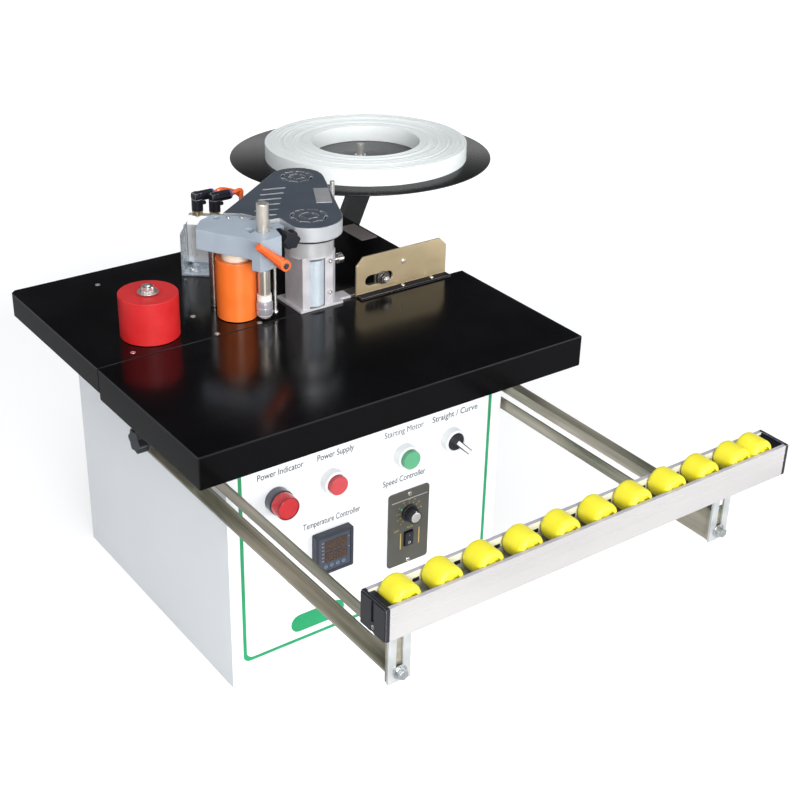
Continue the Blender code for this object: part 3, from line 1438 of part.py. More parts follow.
# ---------------------------------------------------------------- assembly
cabinet_base()
cabinet_shell()
cabinet_rear_cover()
front_table()
rear_table()
indicator_lamp()
bezel("red_button_bezel", RED_BUTTON_X)
bezel("green_button_bezel", GREEN_BUTTON_X)
bezel("selector_bezel", SELECTOR_X)
push_button("red_button", RED_PLASTIC, RED_BUTTON_X)
push_button("green_button", GREEN_PLASTIC, GREEN_BUTTON_X)
selector_handle()
temperature_controller()
speed_controller()
speed_knob()
speed_rocker()
power_inlet()
air_valve()
support_rail("left_rail", -1, LEFT_STANDOFF, LEFT_SLOT_DROP, flange_up=False)
support_rail("right_rail", 1, RIGHT_STANDOFF, RIGHT_SLOT_DROP, flange_up=True)
rail_knob("left_rail_knob", -1, LEFT_STANDOFF, LEFT_SLOT_DROP, TO_LEFT)
rail_knob("right_rail_knob", 1, RIGHT_STANDOFF, RIGHT_SLOT_DROP, TO_RIGHT)
track_bracket("left_track_bracket", -1)
track_bracket("right_track_bracket", 1)
roller_track()
track_rollers()
red_roller()
red_roller_axle()
press_roller()
support_arm()
guide_shaft()
guide_bearing()
clamp_lever()
arm_star_knob()
glue_housing()
glue_roller()
drive_plate()
drive_shaft()
drive_chain()
head_cover()
gear_motor()
cutter_mount()
cutter_cylinder()
cutter_blade()
air_tubes()
tape_fence()
reel_arm()
reel_disc()
tape_roll()
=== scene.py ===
"""Looks of the bench-top edge banding machine, round its CAD frame. Metres, +Z up, the operator at -Y."""

import json
from math import copysign, cos, pi, radians, sin

import bmesh
import bpy
from mathutils import Matrix, Vector

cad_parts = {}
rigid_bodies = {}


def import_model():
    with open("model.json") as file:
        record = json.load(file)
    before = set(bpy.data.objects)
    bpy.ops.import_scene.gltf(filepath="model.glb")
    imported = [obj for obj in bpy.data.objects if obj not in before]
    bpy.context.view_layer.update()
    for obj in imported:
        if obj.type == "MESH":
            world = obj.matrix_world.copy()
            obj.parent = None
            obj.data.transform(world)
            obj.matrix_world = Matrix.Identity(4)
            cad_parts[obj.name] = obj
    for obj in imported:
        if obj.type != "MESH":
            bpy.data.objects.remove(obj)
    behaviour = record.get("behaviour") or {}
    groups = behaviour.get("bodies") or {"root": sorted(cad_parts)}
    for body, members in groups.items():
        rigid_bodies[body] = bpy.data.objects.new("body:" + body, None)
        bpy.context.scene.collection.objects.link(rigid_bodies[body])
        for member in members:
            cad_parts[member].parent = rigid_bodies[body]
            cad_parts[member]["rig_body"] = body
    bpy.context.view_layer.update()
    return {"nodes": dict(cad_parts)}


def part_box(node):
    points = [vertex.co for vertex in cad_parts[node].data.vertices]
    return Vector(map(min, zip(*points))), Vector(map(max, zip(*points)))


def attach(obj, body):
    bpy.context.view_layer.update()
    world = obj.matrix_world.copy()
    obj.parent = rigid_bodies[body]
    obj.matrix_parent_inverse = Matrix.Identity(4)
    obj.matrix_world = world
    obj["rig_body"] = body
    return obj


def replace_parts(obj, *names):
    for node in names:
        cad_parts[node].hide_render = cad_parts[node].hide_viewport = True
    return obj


for old_object in list(bpy.data.objects):
    bpy.data.objects.remove(old_object, do_unlink=True)
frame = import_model()
nodes = frame["nodes"]

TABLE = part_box("front_table")[1].z
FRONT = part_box("cabinet_shell")[0].y
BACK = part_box("cabinet_shell")[1].y

UPRIGHT = Matrix.Identity(3)
TO_FRONT = Matrix(((1, 0, 0), (0, 0, -1), (0, 1, 0)))
TO_BACK = Matrix(((-1, 0, 0), (0, 0, 1), (0, 1, 0)))
TO_RIGHT = Matrix(((0, 0, 1), (1, 0, 0), (0, 1, 0)))
TO_LEFT = Matrix(((0, 0, -1), (-1, 0, 0), (0, 1, 0)))


def behind(x, back, rise=0.0):
    """A point by its X, its distance behind the cabinet's front, and its height above the tables."""
    return Vector((x, FRONT + back, TABLE + rise))


def centre(node):
    low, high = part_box(node)
    return (low + high) / 2


def half_wide(node):
    low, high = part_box(node)
    return (high.x - low.x) / 2


def placed(name, data):
    """A new object in the scene."""
    made = bpy.data.objects.new(name, data)
    bpy.context.scene.collection.objects.link(made)
    return made


# ---- materials
class Nodes:
    """A node tree, with a short way to add to it."""

    def __init__(self, tree):
        self.tree = tree

    def node(self, kind, inputs=None, **settings):
        made = self.tree.nodes.new(kind)
        for key, value in settings.items():
            setattr(made, key, value)
        for key, value in (inputs or {}).items():
            if isinstance(value, bpy.types.NodeSocket):
                self.tree.links.new(value, made.inputs[key])
            else:
                made.inputs[key].default_value = value
        return made


class Look(Nodes):
    """A Principled material whose colour, roughness and bump come from nodes."""

    def __init__(self, name, specular=0.5, coat=0.0):
        self.material = bpy.data.materials.new(name)
        self.material.use_nodes = True
        super().__init__(self.material.node_tree)
        self.shader = self.tree.nodes["Principled BSDF"]
        self.shader.inputs["Specular IOR Level"].default_value = specular
        self.shader.inputs["Coat Weight"].default_value = coat
        self.shader.inputs["Coat Roughness"].default_value = 0.1
        self.place = self.node("ShaderNodeTexCoord").outputs["Object"]
        split = self.node("ShaderNodeSeparateXYZ", {0: self.place})
        self.axes = {axis: split.outputs[axis] for axis in "XYZ"}

    def math(self, operation, first, second=0.0):
        return self.node("ShaderNodeMath", {0: first, 1: second}, operation=operation).outputs[0]

    def noise(self, scale, stretch=(1, 1, 1), detail=4.0, offset=0.0):
        inputs = {"Vector": self.place, "Scale": stretch, "Location": (offset, 0, 0)}
        mapped = self.node("ShaderNodeMapping", inputs).outputs[0]
        return self.node("ShaderNodeTexNoise", {"Vector": mapped, "Scale": scale, "Detail": detail}).outputs[0]

    def from_axis(self, spot):
        """The level distance from an upright axis."""
        flat = self.node("ShaderNodeCombineXYZ", {0: self.axes["X"], 1: self.axes["Y"]}).outputs[0]
        ends = {0: flat, 1: (spot[0], spot[1], 0)}
        return self.node("ShaderNodeVectorMath", ends, operation="DISTANCE").outputs[1]

    def spread(self, value, low, high, start=0.3, end=0.7):
        """The value between start and end, spread from low to high."""
        inputs = {"Value": value, "From Min": start, "From Max": end, "To Min": low, "To Max": high}
        return self.node("ShaderNodeMapRange", inputs).outputs[0]

    def mix(self, share, first, second):
        first, second = ((*value, 1.0) if isinstance(value, tuple) else value for value in (first, second))
        return self.node("ShaderNodeMix", {0: share, 6: first, 7: second}, data_type="RGBA").outputs[2]

    def blend(self, share, first, second):
        return self.node("ShaderNodeMix", {0: share, 2: first, 3: second}, data_type="FLOAT").outputs[0]


def within(axis, low, high):
    """A mask of the part that lies between two places along an axis."""

    def mask(look):
        place = look.axes[axis]
        return look.math("MULTIPLY", look.math("GREATER_THAN", place, low), look.math("LESS_THAN", place, high))

    return mask


def around(spot, reach):
    """A mask of an upright cylinder."""
    return lambda look: look.math("LESS_THAN", look.from_axis(spot), reach)


def both(*masks):
    """A mask of what all of the masks cover."""

    def mask(look):
        found = masks[0](look)
        for other in masks[1:]:
            found = look.math("MULTIPLY", found, other(look))
        return found

    return mask


LOOKS = {}


def surface(
    name, tones, rough, metal=0.0, specular=0.5, coat=0.0, patch=30, stretch=(1, 1, 1), grain=900,
    grain_stretch=(1, 1, 1), bump=0.1, height=0.0001, edge=0.0006, edge_wear_and_highlight=None, zones=(), relief=None, dull=None,
):
    """A material of two tones in patches, with a fine grain and with its edges rounded and lightened, partly as
    wear and partly as a painted highlight.

    Each zone is (mask, tones, roughness, metal), relief adds height, and dull masks what mirrors less.
    """
    look = Look(name, specular, coat)
    wide = look.noise(patch, stretch)
    fine = look.noise(grain, grain_stretch, 2.0, 3.7)
    share = look.spread(wide, 0.0, 1.0)
    shade = look.mix(share, *tones)
    roughness = look.spread(look.blend(0.5, wide, fine), *rough)
    metallic = metal
    for mask, zone_tones, zone_rough, zone_metal in zones:
        inside = mask(look)
        shade = look.mix(inside, shade, look.mix(share, *zone_tones))
        roughness = look.blend(inside, roughness, look.spread(fine, *zone_rough))
        metallic = look.blend(inside, metallic, zone_metal) if zone_metal != metal else metallic
    rounded = look.node("ShaderNodeBevel", {"Radius": edge}, samples=4).outputs[0]
    # Edges turn to a lighter tone: some of it wear, and some a painted highlight along every rounded edge
    if edge_wear_and_highlight:
        plain = look.node("ShaderNodeNewGeometry").outputs["Normal"]
        facing = look.node("ShaderNodeVectorMath", {0: rounded, 1: plain}, operation="DOT_PRODUCT").outputs[1]
        worn_and_highlit = look.math("MULTIPLY", look.spread(facing, 1.0, 0.0, 0.8, 0.99), look.spread(wide, 0.25, 1.0))
        shade = look.mix(worn_and_highlit, shade, edge_wear_and_highlight)
    level = fine if relief is None else look.math("ADD", look.math("MULTIPLY", fine, 0.4), relief(look))
    inputs = {"Strength": bump, "Distance": height, "Height": level, "Normal": rounded}
    bumped = look.node("ShaderNodeBump", inputs).outputs[0]
    for key, value in (("Base Color", shade), ("Roughness", roughness), ("Normal", bumped)):
        look.tree.links.new(value, look.shader.inputs[key])
    if dull:
        look.tree.links.new(look.blend(dull(look), specular, 0.1), look.shader.inputs["Specular IOR Level"])
    if isinstance(metallic, bpy.types.NodeSocket):
        look.tree.links.new(metallic, look.shader.inputs["Metallic"])
    else:
        look.shader.inputs["Metallic"].default_value = metallic
    LOOKS[name] = look.material


def glowing(name, tone, strength):
    """A lit mark: a plain surface with its own light, a little uneven."""
    look = Look(name)
    shade = look.mix(look.spread(look.noise(400), 0.0, 1.0), tone, tuple(0.7 * part for part in tone))
    look.tree.links.new(shade, look.shader.inputs["Base Color"])
    look.tree.links.new(shade, look.shader.inputs["Emission Color"])
    look.shader.inputs["Emission Strength"].default_value = strength
    look.shader.inputs["Roughness"].default_value = 0.35
    LOOKS[name] = look.material


def knurl(axis_at, radius, pitch):
    """Relief of a diamond knurl round an upright roller."""

    def relief(look):
        x = look.math("SUBTRACT", look.axes["X"], axis_at[0])
        y = look.math("SUBTRACT", look.axes["Y"], axis_at[1])
        along = look.math("MULTIPLY", look.math("ARCTAN2", y, x), radius)
        turns = 2 * pi / pitch
        first = look.math("SINE", look.math("MULTIPLY", look.math("ADD", along, look.axes["Z"]), turns))
        second = look.math("SINE", look.math("MULTIPLY", look.math("SUBTRACT", along, look.axes["Z"]), turns))
        return look.math("MULTIPLY", first, second)

    return relief


def raised(relief, level):
    """A mask of where a relief rises above a level."""
    return lambda look: look.math("GREATER_THAN", relief(look), level)


def windings(spot, pitch):
    """Relief of tape wound in a roll: fine rings about an upright axis."""
    return lambda look: look.math("SINE", look.math("MULTIPLY", look.from_axis(spot), 2 * pi / pitch))


TRACK_LOW, TRACK_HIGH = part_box("roller_track")
STEEL_TONES = ((0.56, 0.54, 0.51), (0.74, 0.72, 0.69))
ZINC_TONES = ((0.5, 0.53, 0.55), (0.68, 0.7, 0.71))
DARK_TONES = ((0.006, 0.007, 0.014), (0.011, 0.012, 0.022))
INNER_WALL = (TRACK_LOW.y + 0.0041, TRACK_HIGH.y - 0.0041)
BRASS_TONES = ((0.52, 0.4, 0.22), (0.66, 0.52, 0.3))
TAPE_CENTRE = centre("tape_roll")
KNURL = knurl(centre("glue_roller"), 0.0142, 0.003)
CYLINDER_TOP = TABLE + 0.068
COVER_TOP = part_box("head_cover")[1].z
FENCE_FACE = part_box("tape_fence")[1].y - 0.0025
# The fence's foot is painted near black and mirrors less: a painted shadow under the fence plate
FENCE_FOOT = within("Z", 0, TABLE + 0.0034)
COVER_SIDE = within("Z", COVER_TOP - 0.02, COVER_TOP - 0.0006)

surface(
    "white_paint", ((0.83, 0.855, 0.88), (0.86, 0.885, 0.905)), (0.34, 0.46), grain=700, bump=0.06, patch=9,
    edge=0.0012, edge_wear_and_highlight=(0.89, 0.9, 0.92),
)
surface(
    "black_paint", ((0.0012, 0.0012, 0.0016), (0.0022, 0.0022, 0.0028)), (0.13, 0.21), specular=0.32,
    grain=1400, bump=0.035, patch=14, edge=0.0014, edge_wear_and_highlight=(0.07, 0.07, 0.08), dull=within("Z", 0, TABLE - 0.0022),
    zones=(
        (both(around(behind(0.1175, 0.262), 0.004), within("Z", TABLE + 0.0005, 1)),
         STEEL_TONES, (0.2, 0.3), 0.8),
    ),
)
surface(
    "reel_black", ((0.003, 0.003, 0.0035), (0.006, 0.006, 0.0068)), (0.24, 0.34), specular=0.45,
    bump=0.05, patch=10, edge=0.0012, edge_wear_and_highlight=(0.04, 0.04, 0.045),
    zones=((both(around((0.298, 0.2727), 0.008), within("Z", 0.43, 1)), STEEL_TONES, (0.12, 0.2), 0.5),),
)
surface(
    "grey_paint", ((0.315, 0.372, 0.435), (0.35, 0.41, 0.475)), (0.34, 0.46), grain=1100, patch=40,
    edge=0.001, edge_wear_and_highlight=(0.44, 0.49, 0.54),
    zones=((within("Z", 0, TABLE + 0.0752), STEEL_TONES, (0.22, 0.32), 1.0),),
)
surface(
    "cover_paint", ((0.5, 0.52, 0.55), (0.6, 0.62, 0.65)), (0.26, 0.36), metal=0.4, grain=1800, bump=0.05,
    patch=35, edge=0.0016, edge_wear_and_highlight=(0.86, 0.87, 0.88),
    zones=(
        # The flat top is painted dark slate: a painted reflection of the dark space above
        (within("Z", COVER_TOP - 0.0006, 1), ((0.036, 0.05, 0.07), (0.048, 0.064, 0.088)), (0.3, 0.4), 0.1),
        # Inside the two round vents the walls are painted near black: painted shade
        (both(around(behind(0.0365, 0.1895), 0.0265), COVER_SIDE), DARK_TONES, (0.5, 0.6), 0.0),
        (both(around(behind(0.097, 0.313), 0.0245), COVER_SIDE), DARK_TONES, (0.5, 0.6), 0.0),
    ),
)
surface(
    "cast_aluminium", ((0.52, 0.505, 0.53), (0.64, 0.625, 0.65)), (0.34, 0.5), metal=0.25, grain=420, bump=0.35,
    height=0.0002, patch=60, edge=0.0009, edge_wear_and_highlight=(0.8, 0.79, 0.79),
    zones=(
        (within("Z", TABLE + 0.0705, 1), ((0.46, 0.465, 0.48), (0.56, 0.565, 0.58)), (0.3, 0.4), 0.35),
        (both(within("X", 0.0665, 0.084), within("Z", TABLE + 0.02, 1)), STEEL_TONES, (0.2, 0.3), 1.0),
        (both(within("X", 0.0865, 0.15), within("Z", 0, TABLE + 0.035)),
         ((0.03, 0.027, 0.026), (0.075, 0.062, 0.05)), (0.3, 0.4), 0.5),
    ),
)
surface(
    "aluminium", ((0.455, 0.44, 0.44), (0.515, 0.5, 0.5)), (0.36, 0.46), metal=0.25, grain=1500,
    grain_stretch=(0.02, 1, 1), patch=18, stretch=(0.3, 1, 1), edge=0.0005, edge_wear_and_highlight=(0.88, 0.87, 0.86),
    zones=(
        # The top faces are painted a cooler grey: painted light on the faces that are turned up
        (within("Z", TRACK_HIGH.z - 0.0003, 1), ((0.42, 0.41, 0.47), (0.5, 0.49, 0.55)), (0.3, 0.4), 0.2),
        # The inner walls are cream near the top; lower down they are grey, which is painted shade
        (both(within("Y", *INNER_WALL), within("Z", 0.35, TRACK_HIGH.z - 0.0003)),
         ((0.72, 0.71, 0.6), (0.8, 0.79, 0.68)), (0.4, 0.5), 0.0),
        (both(within("Y", *INNER_WALL), within("Z", 0.35, TRACK_HIGH.z - 0.0105)),
         ((0.4, 0.41, 0.4), (0.47, 0.48, 0.46)), (0.4, 0.5), 0.0),
        (within("X", TRACK_LOW.x - 0.01, TRACK_LOW.x + 0.004), DARK_TONES, (0.4, 0.5), 0.0),
        (within("X", TRACK_HIGH.x - 0.004, TRACK_HIGH.x + 0.01), DARK_TONES, (0.4, 0.5), 0.0),
    ),
)
surface(
    "cylinder", ((0.66, 0.67, 0.68), (0.8, 0.81, 0.81)), (0.24, 0.36), metal=0.4, grain=1200, bump=0.12,
    grain_stretch=(1, 1, 0.03), patch=45, edge=0.0008, edge_wear_and_highlight=(0.9, 0.9, 0.89),
    zones=(
        (within("Z", CYLINDER_TOP + 0.0001, CYLINDER_TOP + 0.0061), BRASS_TONES, (0.22, 0.32), 0.9),
        (within("Z", CYLINDER_TOP + 0.0061, 1), DARK_TONES, (0.28, 0.36), 0.0),
    ),
)
surface("valve", ((0.55, 0.55, 0.55), (0.7, 0.7, 0.69)), (0.3, 0.4), metal=0.8)
surface(
    "steel", STEEL_TONES, (0.16, 0.28), metal=0.8, grain=2200, grain_stretch=(1, 1, 0.05), bump=0.08, patch=70,
    edge=0.0005, edge_wear_and_highlight=(0.86, 0.85, 0.82),
)
surface(
    "shaft_steel", ((0.56, 0.52, 0.46), (0.72, 0.68, 0.61)), (0.14, 0.24), metal=0.7, grain=2200,
    grain_stretch=(1, 1, 0.05), bump=0.06, patch=50, edge_wear_and_highlight=(0.86, 0.84, 0.8),
    zones=(
        (within("Z", TABLE + 0.025, TABLE + 0.0331), ((0.72, 0.71, 0.66), (0.8, 0.79, 0.75)), (0.4, 0.5), 0.0),
    ),
)
surface(
    "knurled_steel", ((0.5, 0.57, 0.63), (0.61, 0.68, 0.74)), (0.26, 0.38), metal=0.25, bump=0.5, height=0.0005,
    relief=KNURL, zones=((raised(KNURL, 0.1), ((0.36, 0.42, 0.48), (0.44, 0.5, 0.56)), (0.3, 0.4), 0.25),),
)
surface(
    "bearing_steel", ((0.36, 0.34, 0.38), (0.56, 0.54, 0.58)), (0.2, 0.3), metal=0.45, grain=2200,
    grain_stretch=(0.05, 0.05, 1), bump=0.08, patch=80, edge=0.0004, edge_wear_and_highlight=(0.85, 0.84, 0.86),
    zones=((within("Z", 0, TABLE + 0.008), ((0.72, 0.74, 0.78), (0.82, 0.83, 0.86)), (0.2, 0.3), 0.3),),
)
surface(
    "dark_steel", ((0.035, 0.035, 0.038), (0.07, 0.07, 0.075)), (0.32, 0.45), metal=0.7, bump=0.15, patch=50,
    edge_wear_and_highlight=(0.3, 0.3, 0.3),
)
surface(
    "yellow_zinc", ((0.13, 0.145, 0.095), (0.5, 0.445, 0.37)), (0.24, 0.4), metal=0.45, patch=60,
    stretch=(1, 0.07, 1), grain=1600, grain_stretch=(1, 0.03, 1), bump=0.12, edge=0.0008, edge_wear_and_highlight=(0.66, 0.63, 0.5),
    zones=((within("Y", -1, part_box("left_track_bracket")[0].y + 0.0004), ZINC_TONES, (0.22, 0.32), 1.0),),
)
surface(
    "grey_zinc", ((0.5, 0.53, 0.53), (0.66, 0.68, 0.68)), (0.28, 0.4), metal=0.55, patch=60, grain=1300,
    grain_stretch=(1, 1, 0.05), edge=0.0007, edge_wear_and_highlight=(0.72, 0.74, 0.75),
)
surface(
    "blue_zinc", ((0.46, 0.53, 0.6), (0.66, 0.72, 0.77)), (0.2, 0.34), metal=0.6, patch=40,
    bump=0.08, edge=0.0012, edge_wear_and_highlight=(0.75, 0.78, 0.8),
)
surface(
    "brass", ((0.54, 0.42, 0.25), (0.68, 0.56, 0.36)), (0.26, 0.4), metal=0.65, patch=20,
    stretch=(0.5, 1, 1), grain=1500, grain_stretch=(0.03, 1, 1), bump=0.12, edge=0.0008, edge_wear_and_highlight=(0.88, 0.76, 0.52),
    # The foot in front of the fence face is painted near black: painted shadow
    zones=((both(within("Y", -1, FENCE_FACE - 0.0004), FENCE_FOOT), DARK_TONES, (0.5, 0.6), 0.0),),
    dull=FENCE_FOOT,
)
surface(
    "black_plastic", ((0.006, 0.007, 0.011), (0.011, 0.012, 0.017)), (0.28, 0.4), grain=1600, bump=0.15,
    edge=0.0008, edge_wear_and_highlight=(0.03, 0.032, 0.042),
)
surface(
    "slate_plastic", ((0.02, 0.024, 0.038), (0.028, 0.033, 0.05)), (0.36, 0.48), grain=1800, bump=0.2,
    edge_wear_and_highlight=(0.07, 0.08, 0.11),
)
surface(
    "white_plastic", ((0.84, 0.86, 0.88), (0.87, 0.89, 0.91)), (0.24, 0.34), grain=1500, bump=0.06,
    edge_wear_and_highlight=(0.9, 0.91, 0.93),
)
surface(
    "red_plastic", ((0.58, 0.055, 0.068), (0.63, 0.07, 0.084)), (0.34, 0.44), grain=1500, bump=0.08,
    edge_wear_and_highlight=(0.85, 0.25, 0.25),
)
surface(
    "green_plastic", ((0.1, 0.4, 0.21), (0.13, 0.46, 0.25)), (0.34, 0.44), grain=1500, bump=0.08,
    edge_wear_and_highlight=(0.35, 0.7, 0.48),
)
surface(
    "red_lens", ((0.54, 0.006, 0.014), (0.62, 0.012, 0.022)), (0.1, 0.18), coat=0.6, grain=1200, bump=0.25,
    patch=90, edge=0.0008, edge_wear_and_highlight=(0.85, 0.12, 0.12),
    zones=((within("Y", FRONT - 0.0107, 1), ((0.055, 0.06, 0.075), (0.075, 0.08, 0.1)), (0.34, 0.44), 0.0),),
)
surface(
    "dark_lens", ((0.2, 0.004, 0.008), (0.27, 0.008, 0.012)), (0.1, 0.18), coat=0.6, grain=1200,
    patch=90, edge=0.0003, edge_wear_and_highlight=(0.6, 0.08, 0.08),
)
surface(
    "yellow_plastic", ((0.72, 0.64, 0.022), (0.78, 0.7, 0.036)), (0.34, 0.46), grain=1500, bump=0.08,
    edge=0.0007, edge_wear_and_highlight=(0.84, 0.78, 0.1), patch=60,
)
surface(
    "olive_plate", ((0.075, 0.073, 0.062), (0.092, 0.089, 0.076)), (0.36, 0.48), metal=0.2, grain=1800,
    edge_wear_and_highlight=(0.22, 0.22, 0.2),
)
surface(
    "red_rubber", ((0.5, 0.008, 0.01), (0.56, 0.013, 0.015)), (0.42, 0.56), grain=700, bump=0.12, patch=45,
    edge=0.0012, edge_wear_and_highlight=(0.76, 0.05, 0.05),
)
surface(
    "orange_rubber", ((0.8, 0.155, 0.02), (0.86, 0.185, 0.032)), (0.26, 0.36), bump=0.07, patch=35,
    edge=0.001, edge_wear_and_highlight=(0.95, 0.4, 0.16), coat=0.3,
)
surface(
    "cream_plastic", ((0.72, 0.62, 0.5), (0.8, 0.7, 0.58)), (0.34, 0.44), grain=1500, bump=0.08, edge=0.0008,
    edge_wear_and_highlight=(0.85, 0.8, 0.7),
)
surface(
    "orange_plastic", ((0.8, 0.115, 0.022), (0.88, 0.145, 0.032)), (0.26, 0.36), grain=1300,
    edge=0.001, edge_wear_and_highlight=(0.95, 0.32, 0.14), patch=60,
)
surface(
    "tube_orange", ((0.8, 0.11, 0.012), (0.88, 0.14, 0.02)), (0.14, 0.22), coat=0.4, grain=500, bump=0.05,
    edge=0.0004,
)
surface(
    "white_tape", ((0.8, 0.835, 0.83), (0.84, 0.87, 0.865)), (0.4, 0.52), patch=14, bump=0.55, height=0.0006,
    relief=windings(TAPE_CENTRE, 0.0022), edge=0.0004, edge_wear_and_highlight=(0.88, 0.9, 0.9),
)
surface("ink", ((0.012, 0.012, 0.022), (0.028, 0.028, 0.042)), (0.45, 0.6), grain=2500, bump=0.02)
surface("green_ink", ((0.01, 0.27, 0.105), (0.016, 0.32, 0.13)), (0.32, 0.42), patch=60, bump=0.03)
surface("gold_ink", ((0.42, 0.3, 0.075), (0.55, 0.4, 0.11)), (0.4, 0.5), patch=300, bump=0.02)
surface("silver_ink", ((0.42, 0.42, 0.41), (0.55, 0.55, 0.54)), (0.34, 0.44), metal=0.4, bump=0.02)
surface("white_ink", ((0.72, 0.73, 0.75), (0.8, 0.81, 0.83)), (0.35, 0.45), bump=0.03)
surface(
    "slate_face", ((0.045, 0.052, 0.072), (0.06, 0.068, 0.092)), (0.3, 0.4), grain=1800, bump=0.12, edge=0.0004,
)
surface("display", ((0.028, 0.016, 0.012), (0.045, 0.024, 0.016)), (0.08, 0.14), coat=0.5, bump=0.02)
surface("blue_collar", ((0.055, 0.08, 0.36), (0.075, 0.11, 0.44)), (0.3, 0.4), bump=0.05)
surface(
    "bare_plate", ((0.25, 0.22, 0.215), (0.32, 0.285, 0.28)), (0.34, 0.46), metal=0.2, patch=50, grain=1500,
    grain_stretch=(0.05, 1, 1), bump=0.12, edge=0.0003, edge_wear_and_highlight=(0.4, 0.38, 0.37),
)
surface(
    "bright_plate", ((0.42, 0.43, 0.45), (0.52, 0.53, 0.55)), (0.3, 0.42), metal=0.6, patch=50, grain=1500,
    grain_stretch=(0.05, 1, 1), bump=0.12, edge=0.0003, edge_wear_and_highlight=(0.7, 0.7, 0.7),
)
glowing("digit_glow", (0.095, 0.045, 0.022), 0.03)
glowing("key_glow", (0.22, 0.34, 0.5), 0.1)
glowing("green_glow", (0.02, 0.45, 0.22), 0.35)

NODE_LOOKS = {
    "air_tube_left": "tube_orange", "air_tube_right": "tube_orange", "air_valve": "valve",
    "cutter_cylinder": "cylinder", "cutter_mount": "blue_zinc", "glue_roller": "knurled_steel",
    "guide_shaft": "shaft_steel", "head_cover": "cover_paint", "reel_disc": "reel_black",
    "reel_arm": "reel_black",
    "selector_bezel": "white_plastic",
}


# ---- shape helpers
def smoothing():
    """A node group that joins split points and shades everything smooth but the sharp edges."""
    tree = bpy.data.node_groups.new("smooth_facets", "GeometryNodeTree")
    for way in ("INPUT", "OUTPUT"):
        tree.interface.new_socket("Geometry", in_out=way, socket_type="NodeSocketGeometry")
    group = Nodes(tree)
    whole = group.node("NodeGroupInput").outputs[0]
    merged = group.node("GeometryNodeMergeByDistance", {"Geometry": whole, "Distance": JOIN}).outputs[0]
    clear = group.node("GeometryNodeRemoveAttribute", {"Geometry": merged, "Name": "custom_normal"}).outputs[0]
    faces = group.node("GeometryNodeSetShadeSmooth", {"Geometry": clear}, domain="FACE").outputs[0]
    angle = group.node("GeometryNodeInputMeshEdgeAngle").outputs["Unsigned Angle"]
    sharp = group.node("FunctionNodeCompare", {0: angle, 1: SHARP}, operation="GREATER_THAN").outputs[0]
    inputs = {"Geometry": faces, "Selection": sharp, "Shade Smooth": False}
    edges = group.node("GeometryNodeSetShadeSmooth", inputs, domain="EDGE").outputs[0]
    group.node("NodeGroupOutput", {0: edges})
    return tree


# How near points are joined, how sharp an edge stays sharp, and how thick and how sunk print is
JOIN, SHARP, PRINT, SUNK = 0.00001, radians(34), 0.00006, 0.0001
SMOOTHING = smoothing()


def soften(piece, width=0.0, dissolve=True):
    """Rounds the sharp edges by a width, and shades the rest smooth."""
    if width:
        piece.modifiers.new("Weld", "WELD").merge_threshold = JOIN
        if dissolve:
            flat = piece.modifiers.new("Flat", "DECIMATE")
            flat.decimate_type = "DISSOLVE"
            flat.angle_limit = radians(1)
        bevel = piece.modifiers.new("Bevel", "BEVEL")
        bevel.width = width
        bevel.segments = 2
        bevel.limit_method = "ANGLE"
        bevel.angle_limit = radians(40)
        bevel.use_clamp_overlap = True
    piece.modifiers.new("Smooth", "NODES").node_group = SMOOTHING
    if width:
        even = piece.modifiers.new("Even", "WEIGHTED_NORMAL")
        even.keep_sharp = True
        even.weight = 100


def finish_piece(piece, look, body):
    piece.data.materials.clear()
    piece.data.materials.append(LOOKS[look])
    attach(piece, body)
    return piece


def clean_mesh(name, points, faces, move=Matrix.Identity(4)):
    """A mesh with its doubled points joined and its faces turned outward."""
    mesh = bpy.data.meshes.new(name)
    mesh.from_pydata([tuple(p) for p in points], [], faces)
    shape = bmesh.new()
    shape.from_mesh(mesh)
    bmesh.ops.remove_doubles(shape, verts=shape.verts, dist=0.0000001)
    bmesh.ops.recalc_face_normals(shape, faces=shape.faces)
    shape.transform(move)
    shape.to_mesh(mesh)
    shape.free()
    return mesh


def mesh_piece(name, points, faces, look, body, at=(0, 0, 0), turn=UPRIGHT, slot=None, bevel=0.0):
    piece = placed(name, clean_mesh(name, points, faces, Matrix.Translation(at) @ turn.to_4x4()))
    soften(piece, bevel, dissolve=False)
    return finish_piece(piece, look, body)


def prisms(outlines, low, high):
    """Points and faces of upright prisms over outlines."""
    points, faces = [], []
    for outline in outlines:
        start, count = len(points), len(outline)
        points += [(x, y, low) for x, y in outline] + [(x, y, high) for x, y in outline]
        faces.append(tuple(start + i for i in reversed(range(count))))
        faces.append(tuple(start + count + i for i in range(count)))
        for i in range(count):
            j = (i + 1) % count
            faces.append((start + i, start + j, start + count + j, start + count + i))
    return points, faces


def flat(name, outlines, look, body, at, turn=UPRIGHT, thick=0.0002, sink=0.00015, **options):
    """Flat shapes, drawn in the turned plane and as thick as said, sunk a little into the surface below."""
    return mesh_piece(name, *prisms(outlines, -sink, thick), look, body, at, turn, **options)


def band(name, outer, inner, low, high, look, place, loop=True, **options):
    """A flat band between two outlines of as many points each."""
    count = len(outer)
    points = [(x, y, z) for z in (low, high) for outline in (outer, inner) for x, y in outline]
    faces = []
    for i in range(count if loop else count - 1):
        j = (i + 1) % count
        for a, b in ((0, count), (2 * count, 3 * count), (0, 2 * count), (count, 3 * count)):
            faces.append((a + i, a + j, b + j, b + i))
    if not loop:
        for i in (0, count - 1):
            faces.append((i, count + i, 3 * count + i, 2 * count + i))
    return mesh_piece(name, points, faces, look, *place, **options)


def tool(outline, rise):
    """A hidden prism to cut with. Its outline is measured from the cabinet's front, its foot from the table."""
    outline = [(x, FRONT + back) for x, back in outline]
    made = placed("tool", clean_mesh("tool", *prisms([outline], TABLE + rise, TABLE + 0.2)))
    made.hide_render = True
    return made


